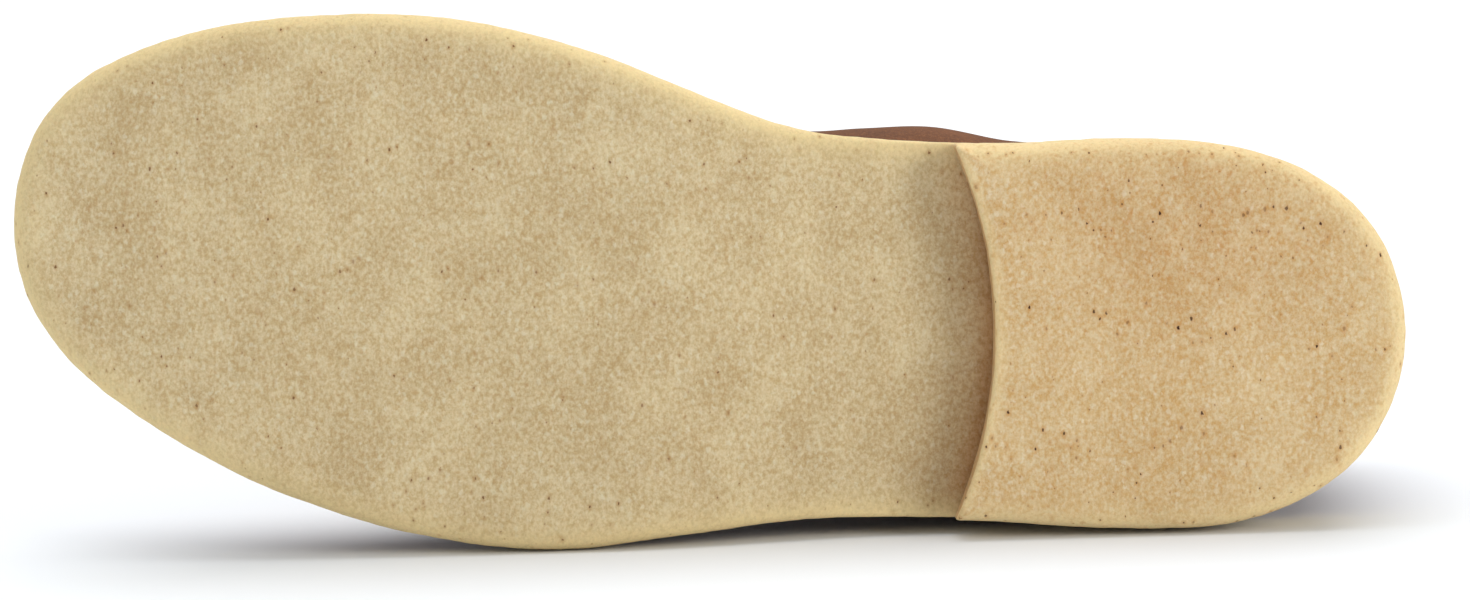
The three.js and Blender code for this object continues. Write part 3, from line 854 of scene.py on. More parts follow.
class Effects:
    """The node groups that several finishes share, each built once."""

    def __init__(self) -> None:
        """Builds the groups."""
        self.granules = self._granules()
        self.specks = self._specks()
        self.hide = self._hide()
        self.twist = self._twist()

    @staticmethod
    def _start(name: str, inputs: dict[str, float | None], outputs: Iterable[str]) -> tuple:
        """Opens a group with named sockets.

        Args:
            name: of the group.
            inputs: default values by input name; None makes a vector.
            outputs: names of the values that it gives.

        Returns:
            The tree, its graph, the input sockets by name and the output node.
        """
        tree = bpy.data.node_groups.new(name, "ShaderNodeTree")
        for key, value in inputs.items():
            kind = "NodeSocketVector" if value is None else "NodeSocketFloat"
            socket = tree.interface.new_socket(key, in_out="INPUT", socket_type=kind)
            if value is not None:
                socket.default_value = value
        for key in outputs:
            tree.interface.new_socket(key, in_out="OUTPUT", socket_type="NodeSocketFloat")
        graph = Graph(tree)
        given = graph.node("NodeGroupInput").outputs
        return tree, graph, given, graph.node("NodeGroupOutput")

    def _granules(self) -> bpy.types.NodeTree:
        """Crepe rubber's crumbs: pale and tan grains in drifts, with their relief.

        Returns:
            The group's tree.
        """
        tree, g, given, out = self._start(
            "crepe_granules",
            {"Vector": None, "Grain": 700.0, "Drift": 120.0},
            ("Fleck", "Grit", "Cloud", "Bloom", "Vein", "Relief"),
        )
        vector, grain = given["Vector"], given["Grain"]
        aside = g.moved(vector, (0.13, 0.07, 0.11))
        fleck = g.noise(vector, g.times(grain, 0.8), 4.0, 0.75)
        grit = g.noise(aside, g.times(grain, 1.5), 2.0, 0.6)
        cloud = g.noise(aside, given["Drift"], 3.0, 0.6)
        warped = g.warped(vector, grain, 0.0014, 2.0)
        crumb = g.cells(warped, g.times(grain, 0.5))
        chosen = g.step(g.node("ShaderNodeSeparateColor", {0: crumb.outputs["Color"]}).outputs[0], 0.3, 0.9)
        bloom = g.times(g.step(crumb.outputs["Distance"], 0.2, 0.46, (1.0, 0.0)), chosen)
        ridge = g.math("ABSOLUTE", g.math("SUBTRACT", g.noise(warped, g.times(grain, 0.3), 1.0), 0.5))
        vein = g.times(g.step(ridge, 0.0, 0.035, (1.0, 0.0)), g.step(fleck, 0.4, 0.6))
        relief = g.plus(g.times(bloom, 0.4), g.plus(fleck, g.times(grit, 0.5)))
        g.give(out, Fleck=fleck, Grit=grit, Cloud=cloud, Bloom=bloom, Vein=vein, Relief=relief)
        return tree

    def _specks(self) -> bpy.types.NodeTree:
        """Rare small marks, one in some of the cells of a scatter.

        Returns:
            The group's tree.
        """
        tree, g, given, out = self._start(
            "specks", {"Vector": None, "Scale": 150.0, "Chance": 0.1, "Size": 0.1}, ("Mask", "Halo", "Pick")
        )
        cell = g.cells(g.warped(given["Vector"], 2600.0, 0.0004), given["Scale"]).outputs
        pick = g.node("ShaderNodeSeparateColor", {0: cell["Color"]}).outputs
        wide = g.times(given["Size"], g.plus(g.math("POWER", pick[1], 3.0), 0.45))
        near = g.step(cell["Distance"], g.times(wide, 0.6), wide, (1.0, 0.0))
        chosen = g.math("LESS_THAN", pick[0], given["Chance"])
        halo = g.step(cell["Distance"], 0.0, g.times(wide, 3.2), (1.0, 0.0))
        g.give(out, Mask=g.times(near, chosen), Halo=g.times(halo, chosen), Pick=pick[2])
        return tree

    def _hide(self) -> bpy.types.NodeTree:
        """Leather's grain: pebbles with fine creases between them, in soft patches.

        Returns:
            The group's tree.
        """
        tree, g, given, out = self._start(
            "leather_hide", {"Vector": None, "Scale": 900.0, "Patch": 45.0}, ("Patches", "Pebble", "Nap")
        )
        vector, scale = given["Vector"], given["Scale"]
        pebble = g.cells(g.warped(vector, scale, 0.0006), scale, "SMOOTH_F1").outputs["Distance"]
        nap = g.noise(vector, g.times(scale, 2.3), 3.0, 0.65)
        g.give(out, Patches=g.noise(vector, given["Patch"], 4.0, 0.6), Pebble=pebble, Nap=nap)
        return tree

    def _twist(self) -> bpy.types.NodeTree:
        """Strands that run round a cord or thread, as a height over its UV map.

        Returns:
            The group's tree.
        """
        tree, g, given, out = self._start(
            "twisted_strands", {"Vector": None, "Strands": 6.0, "Slant": 1.0}, ("Strand", "Fray")
        )
        axes = g.node("ShaderNodeSeparateXYZ", {0: given["Vector"]}).outputs
        lead = g.times(axes[0], given["Slant"])
        pitch = g.times(given["Strands"], FULL_TURN)
        both = (g.math("SINE", g.times(g.math(way, axes[1], lead), pitch)) for way in ("ADD", "SUBTRACT"))
        g.give(out, Strand=g.math("MAXIMUM", *both), Fray=g.noise(given["Vector"], 60.0, 3.0, 0.7))
        return tree


@dataclass(frozen=True)
class CrepeFinish:
    """Plantation crepe rubber: granular, matt, with dark specks, a painted glow of light through its edges
    and painted shade before the heel's breast.
    """

    name: str
    pale: Colour
    tan: Colour
    # The colour of the painted glow along the edges, where light shows through the crepe.
    edge: Colour
    stain: Colour
    speck: Colour
    bloom: Colour
    # Tint of the painted shade before the heel's breast and on its face, and of the stain on the heel's
    # tread.
    shade_and_stain: Colour = tone(196, 144, 92)
    shade_and_stain_share: float = 1.0
    grain: float = 1400.0
    drift: float = 75.0
    speck_chance: float = 0.36
    speck_scale: float = 620.0
    speck_size: float = 0.14

    def build(self, effects: Effects) -> bpy.types.Material:
        """Makes the material.

        Args:
            effects: the shared groups.

        Returns:
            The material. It reads rim for the painted glow along the edges, an attribute of painted shade and
            stain, and spots.
        """
        material, g = new_material(self.name)
        place = g.place()
        along = g.stretch(place, (1.0, 1.0, 0.8))
        grain = {"Vector": along, "Grain": self.grain, "Drift": self.drift}
        crumbs = g.group(effects.granules, grain).outputs
        drift = g.math("SUBTRACT", crumbs["Cloud"], 0.5)
        tanned = g.step(g.plus(crumbs["Fleck"], g.times(drift, 0.22)), 0.31, 0.71)
        colour = g.blend(tanned, self.pale, self.tan)
        colour = g.blend(g.times(crumbs["Bloom"], 0.55), colour, self.bloom)
        colour = g.blend(g.times(crumbs["Vein"], 0.55), colour, self.tan)
        # Painted glow along the edges, where light shows through the crepe, broken up by the flecks.
        worn = g.times(g.value("rim"), g.step(crumbs["Fleck"], 0.35, 0.65, (1.15, 0.7)))
        worn = g.math("ADD", worn, g.times(drift, -0.35), clamp=True)
        colour = g.blend(worn, colour, self.edge)
        light = g.step(crumbs["Grit"], 0.2, 0.8, (0.95, 1.05))
        colour = g.shade(colour, g.times(light, g.step(crumbs["Cloud"], 0.25, 0.75, (1.035, 0.965))))
        # Painted shade before the heel's breast and on its face, with stain on the heel's tread, multiplied
        # in.
        colour = g.blend(g.times(g.value("shade_and_stain"), self.shade_and_stain_share), colour, self.shade_and_stain, "MULTIPLY")
        spots = g.value("spots")
        flecked = g.times(g.step(g.noise(along, self.speck_scale * 1.3, 3.0, 0.7), 0.52, 0.72), spots)
        colour = g.blend(g.math("MULTIPLY", flecked, 0.9, clamp=True), colour, self.stain)
        scatter = {
            "Vector": g.stretch(place, (1.0, 1.0, 0.7), 0.6),
            "Scale": self.speck_scale,
            "Chance": g.plus(g.times(spots, 0.5), self.speck_chance),
            "Size": self.speck_size,
        }
        marks = g.group(effects.specks, scatter).outputs
        colour = g.blend(g.times(marks["Halo"], 0.5), colour, self.stain)
        deep = g.step(marks["Pick"], 0.0, 1.0, (0.3, 1.0))
        colour = g.blend(g.times(marks["Mask"], deep), colour, self.speck)
        relief = g.bump(crumbs["Relief"], 0.12 * MM, 0.45)
        relief = g.bump(crumbs["Cloud"], 0.5 * MM, 0.3, relief)
        roughness = g.step(crumbs["Grit"], 0.2, 0.8, (0.78, 0.95))
        constants = {"Specular IOR Level": 0.25, "Subsurface Weight": 0.08, "Subsurface Scale": 0.002}
        g.surface(constants, Base_Color=colour, Roughness=roughness, Normal=relief)
        return material


@dataclass(frozen=True)
class HideFinish:
    """Leather: its colour in patches, its grain and its gloss, with painted shade in the grain's creases and
    along the feather line.
    """

    name: str
    colour: Colour
    dark: Colour
    bright: Colour
    grain: float
    patch: float
    nap: float
    depth: float
    roughness: tuple[float, float]
    specular: float
    sheen: float

    def build(self, effects: Effects) -> bpy.types.Material:
        """Makes the material.

        Args:
            effects: the shared groups.

        Returns:
            The material. It reads the attributes worn and deep; deep is the painted shade along the feather
            line.
        """
        material, g = new_material(self.name)
        place = g.place()
        hide = g.group(effects.hide, {"Vector": place, "Scale": self.grain, "Patch": self.patch}).outputs
        colour = g.blend(g.step(hide["Patches"], 0.3, 0.72), self.dark, self.colour)
        colour = g.blend(g.step(hide["Nap"], 0.45, 0.72, (0.0, self.nap)), colour, self.bright)
        colour = g.blend(g.step(g.value("worn"), 0.1, 1.0, (0.0, 0.55)), colour, self.bright)
        # Painted shade: darker along the feather line where the leather meets the sole, darker in the grain's
        # creases and lighter on its pebbles.
        light = g.step(g.value("deep"), 0.0, 1.0, (1.0, 0.62))
        colour = g.shade(colour, g.times(light, g.step(hide["Pebble"], 0.1, 0.6, (1.06, 0.86))))
        relief = g.bump(g.plus(g.times(hide["Pebble"], -1.0), hide["Nap"]), self.depth, 0.6)
        gloss = g.step(hide["Nap"], 0.3, 0.7, self.roughness)
        constants = {"Specular IOR Level": self.specular, "Sheen Weight": self.sheen, "Sheen Roughness": 0.5}
        g.surface(constants, Base_Color=colour, Roughness=gloss, Normal=relief)
        return material


@dataclass(frozen=True)
class CordFinish:
    """A braided lace or a twisted thread, over the piece's UV map, with painted shade in the grooves between
    its strands.
    """

    name: str
    colour: Colour
    dark: Colour
    strands: float
    slant: float
    depth: float

    def build(self, effects: Effects) -> bpy.types.Material:
        """Makes the material.

        Args:
            effects: the shared groups.

        Returns:
            The material. It reads the UV map.
        """
        material, g = new_material(self.name)
        uv = g.node("ShaderNodeTexCoord").outputs["UV"]
        twist = g.group(effects.twist, {"Vector": uv, "Strands": self.strands, "Slant": self.slant}).outputs
        # Painted shade: darker in the grooves between the strands.
        colour = g.blend(g.step(twist["Strand"], -0.4, 0.9), self.dark, self.colour)
        colour = g.shade(colour, g.step(twist["Fray"], 0.2, 0.8, (0.82, 1.14)))
        relief = g.bump(twist["Strand"], self.depth, 0.8)
        constants = {"Roughness": 0.8, "Specular IOR Level": 0.25, "Sheen Weight": 0.2}
        g.surface(constants, Base_Color=colour, Normal=relief)
        return material


@dataclass(frozen=True)
class Finishes:
    """All the materials of the boot."""

    crepe: bpy.types.Material
    heel_crepe: bpy.types.Material
    leather: bpy.types.Material
    lining: bpy.types.Material
    cut_edge: bpy.types.Material
    insole: bpy.types.Material
    thread: bpy.types.Material
    lace: bpy.types.Material

    @property
    def sheet(self) -> list[bpy.types.Material]:
        """A leather sheet's outer face, lining and cut edge, in slot order."""
        return [self.leather, self.lining, self.cut_edge]

    @classmethod
    def make(cls) -> "Finishes":
        """Builds every finish from the shared effects.

        Returns:
            The finishes.
        """
        # The third colour of each crepe is the painted glow along its edges.
        crepe = (tone(211, 193, 155), tone(184, 154, 106), tone(222, 198, 146))
        crepe += (tone(168, 122, 70), tone(118, 82, 50), tone(216, 204, 172))
        heel = (tone(216, 194, 154), tone(200, 157, 97), tone(228, 203, 152))
        heel += (tone(190, 130, 62), tone(62, 32, 20), tone(224, 208, 176))
        leather = (tone(115, 69, 40), tone(94, 56, 33), tone(158, 108, 71))
        lining = (tone(176, 132, 94), tone(150, 108, 76), tone(204, 168, 132))
        edge = (tone(196, 148, 120), tone(150, 104, 80), tone(226, 190, 168))
        insole = (tone(190, 152, 112), tone(162, 124, 88), tone(214, 182, 146))
        # A leather's numbers: grain, patch, nap, depth, roughness, specular and sheen.
        finishes = (
            CrepeFinish("crepe", *crepe),
            CrepeFinish("heel_crepe", *heel, shade_and_stain_share=0.35, speck_chance=0.3, speck_size=0.19),
            HideFinish("upper_leather", *leather, 1050.0, 45.0, 0.7, 0.12 * MM, (0.68, 0.86), 0.14, 0.0),
            HideFinish("lining_leather", *lining, 1300.0, 45.0, 0.7, 0.12 * MM, (0.75, 0.9), 0.2, 0.15),
            HideFinish("cut_edge", *edge, 2200.0, 45.0, 0.8, 0.2 * MM, (0.8, 0.95), 0.15, 0.2),
            HideFinish("insole_leather", *insole, 1100.0, 30.0, 0.5, 0.12 * MM, (0.6, 0.8), 0.25, 0.0),
            CordFinish("thread", tone(176, 138, 108), tone(110, 78, 56), 2.0, 3.0, 0.05 * MM),
            CordFinish("lace_cord", tone(98, 68, 48), tone(48, 32, 24), 8.0, 1.0, 0.2 * MM),
        )
        effects = Effects()
        return cls(*(finish.build(effects) for finish in finishes))


class SoleRow(NamedTuple):
    """One ring of a slab: how its inset and height follow from the slab's sizes."""

    inset_top: float
    inset_bottom: float
    lift_thickness: float
    lift_top: float
    lift_bottom: float
    inwards: float


def slab_rows(face: int, round_: int, side: int, tread: int) -> list[SoleRow]:
    """The rings of a slab with rounded edges, from the middle of its top to the middle of its tread.

    Args:
        face: rings on the top face.
        round_: rings in each rounding.
        side: rings on the side.
        tread: rings on the tread.

    Returns:
        The rings in order.
    """
    quarter = np.linspace(0, math.pi / 2, round_ + 1)
    rows = [SoleRow(1, 0, 1, 0, 0, 1 - i / face) for i in range(face)]
    rows += [SoleRow(1 - math.sin(a), 0, 1, math.cos(a) - 1, 0, 0) for a in quarter]
    rows += [SoleRow(0, 0, 1 - f, f - 1, f, 0) for f in (i / side for i in range(1, side))]
    rows += [SoleRow(0, 1 - math.cos(a), 0, 0, 1 - math.sin(a), 0) for a in quarter]
    rows += [SoleRow(0, 1, 0, 0, 0, (i / tread) ** 0.85) for i in range(1, tread + 1)]
    return rows


def ring_at(rows: list[SoleRow], v: Array) -> SoleRow:
    """The rings that shares through a slab's rows fall on, as columns."""
    return SoleRow(*np.array(rows)[np.rint(v * (len(rows) - 1)).astype(int)].T)


class Mark(NamedTuple):
    """A patch of dark specks on a tread: its middle, its length over its width, width and strength."""

    x: float
    y: float
    stretch: float
    width: float
    strength: float

    def over(self, points: Array) -> Array:
        """How strong it is at some points."""
        away = np.hypot((points[:, 0] - self.x) / self.stretch, points[:, 1] - self.y)
        return self.strength * bell(away, self.width)


class Wave(NamedTuple):
    """A layer of unevenness: its height, the length of its waves and its seed."""

    height: float
    size: float
    seed: float


def uneven(points: Array, waves: Iterable[Wave]) -> Array:
    """Heights of all the layers of unevenness at some points, added up."""
    return sum(wave.height * soft_noise(points, wave.size, wave.seed) for wave in waves)


@dataclass
class CrepeSlab:
    """What the outsole and the heel lift share: an uneven ground edge round a speckled tread."""

    last: Last
    tread_round: float = 4.5 * MM
    ring_width: float = 2.5 * MM
    edge_reach: float = 6 * MM
    edge_waves: tuple[Wave, ...] = ()
    tread_waves: tuple[Wave, ...] = ()
    depth: Array = field(init=False, repr=False)
    normals: Array = field(init=False, repr=False)
    on_tread: Array = field(init=False, repr=False)

    def roughen(self, bm: bmesh.types.BMesh) -> Array:
        """Makes the ground edge and the tread a little uneven.

        Args:
            bm: the slab as it was placed, whose depth, normals and tread are known.

        Returns:
            Its moved points, one a row.
        """
        points = positions(bm)
        near = 1 - smoothstep(self.depth, 0, self.edge_reach)
        points[:, :2] += self.normals * (uneven(points, self.edge_waves) * near)[:, None]
        points[:, 2] += np.where(self.on_tread, uneven(points, self.tread_waves), 0)
        move_to(bm, points)
        return points

    def ring(self) -> Array:
        """A share that is 1 along the line where the ground edge meets the tread."""
        return bell(self.depth - self.tread_round, self.ring_width)


@dataclass
class CrepeOutsole(CrepeSlab):
    """The crepe slab under the whole boot, with its ground edge."""

    top_round: float = 0.8 * MM
    around: int = 560
    rows: list[SoleRow] = field(default_factory=lambda: slab_rows(8, 4, 8, 52))
    spine_from: float = 40 * MM
    pale_from: float = 1.5 * MM
    pale_fade: float = 2.86 * MM
    edge_waves: tuple[Wave, ...] = (
        Wave(0.1575 * MM, 13 * MM, 4),
        Wave(0.09 * MM, 4 * MM, 9),
        Wave(0.1 * MM, 2.2 * MM, 2),
    )
    tread_waves: tuple[Wave, ...] = (Wave(0.12 * MM, 9 * MM, 1),)
    marks: tuple[Mark, ...] = (
        Mark(262 * MM, 36 * MM, 1.6, 11 * MM, 0.25),
        Mark(158 * MM, 28 * MM, 1.5, 8 * MM, 0.3),
        Mark(285 * MM, 0, 1.0, 14 * MM, 0.12),
        Mark(222 * MM, 43 * MM, 2.4, 8 * MM, 0.25),
    )
    ring_strength: float = 0.14
    edge_spots: float = -0.3
    breast_middle: float = -4 * MM
    breast_half: float = 46 * MM

    def round_at(self, x: Array) -> Array:
        """Radius of the ground edge, which stays nearly square above the heel."""
        full = smoothstep(x, self.last.waist_from, self.last.tread_from)
        return self.top_round + (self.tread_round - self.top_round) * full

    def place(self, u: Array, v: Array) -> Array:
        """Lays out the slab, and keeps its depth, normals and tread.

        Args:
            u: shares round its edge.
            v: shares through its rings.

        Returns:
            Its points.
        """
        last, row, turn = self.last, ring_at(self.rows, v), u * FULL_TURN
        radius = self.round_at(last.station(turn))
        inset = self.top_round * row.inset_top + radius * row.inset_bottom
        x, y, *normal = last.edge(turn, inset)
        self.normals = np.stack(normal, axis=-1)
        spine_x, spine_y = last.spine(turn, self.spine_from)
        self.depth = inset + row.inwards * np.hypot(x - spine_x, y - spine_y)
        self.on_tread = row.lift_thickness == 0
        x, y = between(x, spine_x, row.inwards), between(y, spine_y, row.inwards)
        lift = last.outsole_thickness * row.lift_thickness + self.top_round * row.lift_top
        return np.stack([x, y, last.underside(x) + lift + radius * row.lift_bottom], axis=-1)

    def breast_shade(self, points: Array) -> Array:
        """Painted shade on the tread in a band before the heel's breast, where the lift's shadow falls.

        Args:
            points: places on the slab, one a row.

        Returns:
            How dark each of them is.
        """
        last, across = self.last, (points[:, 1] - self.breast_middle) / self.breast_half
        breast = last.breast_at + last.breast_hollow * across**2 + last.breast_skew / 2 * across
        ahead = points[:, 0] - breast
        shade = 0.38 * bell(ahead, 10 * MM) + 0.34 * bell(ahead, 3 * MM)
        return shade * self.on_tread * smoothstep(self.depth, -2 * MM, 9 * MM)

    def build(self, shop: Workshop, finishes: Finishes) -> bpy.types.Object:
        """Makes the piece.

        Args:
            shop: where pieces are made.
            finishes: the materials.

        Returns:
            The piece.
        """
        bm = lattice(self.around, len(self.rows) - 1, self.place)
        points = self.roughen(bm)
        # The painted glow of light through the crepe, fading inwards from the edge.
        pale = np.exp(-np.maximum(self.depth - self.pale_from, 0) / self.pale_fade)
        spots = sum(mark.over(points) for mark in self.marks) + self.ring_strength * self.ring()
        rim = np.where(self.on_tread, pale, 1)
        spots = np.where(self.on_tread, spots, self.edge_spots)
        # The attributes carry the painted glow along the edge, the painted shade before the heel's breast and
        # the spots.
        keep_values(bm, {"rim": rim, "shade_and_stain": self.breast_shade(points), "spots": spots})
        close_up(bm, 0.02 * MM)
        return shop.piece("crepe_outsole", bm, [finishes.crepe], "crepe", "outsole")


@dataclass
class CrepeHeel(CrepeSlab):
    """The crepe heel lift, cut off in front by a hollow breast."""

    breast_round: float = 1.1 * MM
    top_round: float = 0.4 * MM
    flare: float = 0.8 * MM
    around: int = 480
    rows: list[SoleRow] = field(default_factory=lambda: slab_rows(6, 6, 8, 36))
    heart_x: float = 46 * MM
    corner_search: float = 0.35
    edge_reach: float = 5 * MM
    edge_waves: tuple[Wave, ...] = (Wave(0.16 * MM, 9 * MM, 3), Wave(0.1 * MM, 2.4 * MM, 6))
    tread_waves: tuple[Wave, ...] = (Wave(0.14 * MM, 8 * MM, 5),)
    worn_patch: Mark = Mark(50 * MM, 18 * MM, 1.4, 22 * MM, 1.0)
    pale_behind: float = 2.8 * MM
    pale_in_front: float = 1.0 * MM
    ring_strength: float = 0.25
    edge_spots: float = -0.4
    front: Array = field(init=False, repr=False)

    def outline(self) -> tuple[Array, Array, Array]:
        """The closed edge of the lift.

        Returns:
            Its points, their outward normals, and a share that is 1 on the breast.
        """
        last = self.last
        outer, inner = (last.turn_at(last.breast_at, side) for side in (Side.OUTER, Side.INNER))
        span = float(last.side_at(inner) - last.side_at(outer))
        hollow, skew = last.breast_hollow + self.flare, last.breast_skew + 2 * self.flare
        radius = (span**2 / 4 + hollow**2) / (2 * hollow)
        middle = float(last.side_at(inner) + last.side_at(outer)) / 2
        centre = np.array([last.breast_at + radius, middle - radius * skew / span])

        def inside(turn: Array) -> Array:
            """How far the edge lies inside the breast's circle."""
            x, y, _, _ = last.edge(turn)
            return radius - np.hypot(x - centre[0], y - centre[1])

        corner = partial(solve, outer - self.corner_search, outer + self.corner_search)
        t_outer = float(corner(inside))
        t_inner = FULL_TURN - float(corner(lambda turn: inside(FULL_TURN - turn)))
        back = np.linspace(t_outer, t_inner - FULL_TURN, 900)
        x, y, _, _ = last.edge(back)
        edge = np.stack([x, y], axis=-1)
        a, b = (math.atan2(*(p - centre)[::-1]) % FULL_TURN for p in (edge[-1], edge[0]))
        sweep = np.linspace(a, b, 500)[1:-1]
        arc = centre + radius * np.stack([np.cos(sweep), np.sin(sweep)], axis=-1)
        loop = np.vstack([edge, arc])
        front = np.concatenate([np.zeros(len(edge)), np.ones(len(arc))])
        for _ in range(2):
            loop, front = self.even(loop, front)
            loop = (np.roll(loop, 1, 0) + 4 * loop + np.roll(loop, -1, 0)) / 6
        step = np.roll(loop, -1, 0) - np.roll(loop, 1, 0)
        normal = np.stack([step[:, 1], -step[:, 0]], axis=-1)
        normal /= np.linalg.norm(normal, axis=-1, keepdims=True)
        away = loop - loop.mean(0)
        normal *= np.sign(np.sum(normal * away))
        for _ in range(4):
            front = (np.roll(front, 1) + front + np.roll(front, -1)) / 3
        return loop, normal, front

    def even(self, loop: Array, front: Array) -> tuple[Array, Array]:
        """Spaces the points of a closed line evenly.

        Args:
            loop: the line's points.
            front: a share that goes with each.

        Returns:
            The same line and shares, in as many points as the lift has round it.
        """
        closed = np.vstack([loop, loop[:1]])
        marks = np.append(front, front[0])
        run = run_along(closed)
        at = np.linspace(0, run[-1], self.around, endpoint=False)
        return rows_at(at, run, closed), np.interp(at, run, marks)

    def place(self, u: Array, v: Array) -> Array:
        """Lays out the lift, and keeps its depth, normals, front and tread.

        Args:
            u: shares round its edge.
            v: shares through its rings.

        Returns:
            Its points.
        """
        loop, normal, front = self.outline()
        i = np.rint(u * self.around).astype(int) % self.around
        row = ring_at(self.rows, v)
        radius = between(self.tread_round, self.breast_round, front[i])
        inset = self.top_round * row.inset_top + radius * row.inset_bottom
        heart = np.array([self.heart_x, float(loop[:, 1].mean())])
        inwards = heart - loop
        inwards /= np.linalg.norm(inwards, axis=1, keepdims=True)
        square = np.maximum(0.45, -np.sum(inwards * normal, axis=1))
        point = loop[i] + inwards[i] * (inset / square[i])[:, None]
        self.depth = inset + row.inwards * np.linalg.norm(point - heart, axis=1)
        self.front, self.normals = front[i], normal[i]
        self.on_tread = row.lift_thickness == 0
        point = point + (heart - point) * row.inwards[:, None]
        height = self.last.heel_height - self.last.gap
        z = height * row.lift_thickness + self.top_round * row.lift_top + radius * row.lift_bottom
        return np.column_stack([point, z])

    def build(self, shop: Workshop, finishes: Finishes) -> bpy.types.Object:
        """Makes the piece.

        Args:
            shop: where pieces are made.
            finishes: the materials.

        Returns:
            The piece.
        """
        bm = lattice(self.around, len(self.rows) - 1, self.place)
        points = self.roughen(bm)
        # The painted glow of light through the crepe, in a band along the edge and over the sides, faint on
        # the breast's face.
        band = between(self.pale_behind, self.pale_in_front, self.front)
        pale = np.exp(-np.maximum(self.depth - 0.5 * band, 0) / band)
        rim = np.where(self.on_tread, pale, between(1.0, 0.1, self.front))
        worn = self.worn_patch.over(points)
        spots = 0.65 * worn + 0.04 + self.ring_strength * self.ring() * (1 - self.front)
        spots = np.where(self.on_tread, spots, self.edge_spots)
        # Painted shade on the breast's face; on the tread, stain in the worn patch.
        shade_and_stain = np.where(self.on_tread, 0.45 * worn, self.front)
        keep_values(bm, {"rim": rim, "shade_and_stain": shade_and_stain, "spots": spots})
        close_up(bm, 0.005 * MM)
        return shop.piece("crepe_heel", bm, [finishes.heel_crepe], "heel_crepe", "heel_lift")


class Crease(NamedTuple):
    """A soft trough in the leather, in side view, with its shoulders."""

    x: float
    z: float
    slant: float
    reach: float
    width: float
    depth: float
    side: int


SIDE_CREASES = (
    Crease(112 * MM, 78 * MM, 2.2, 24 * MM, 3.4 * MM, 0.9 * MM, 0),
    Crease(128 * MM, 62 * MM, 2.5, 20 * MM, 3.0 * MM, 0.7 * MM, 0),
    Crease(96 * MM, 60 * MM, 2.0, 18 * MM, 3.6 * MM, 0.6 * MM, -1),
    Crease(34 * MM, 84 * MM, 0.15, 20 * MM, 4.0 * MM, 0.7 * MM, 0),
    Crease(30 * MM, 66 * MM, 0.3, 16 * MM, 4.0 * MM, 0.5 * MM, -1),
    Crease(150 * MM, 44 * MM, 2.7, 16 * MM, 3.0 * MM, 0.5 * MM, 0),
)

# Creases where the forefoot bends: place along the sole, slant to the inner side, width and depth.
VAMP_CREASES = (
    (193 * MM, 0.10, 4.2 * MM, 0.6 * MM),
    (205 * MM, -0.06, 3.4 * MM, 0.45 * MM),
    (218 * MM, 0.14, 3.8 * MM, 0.25 * MM),
)


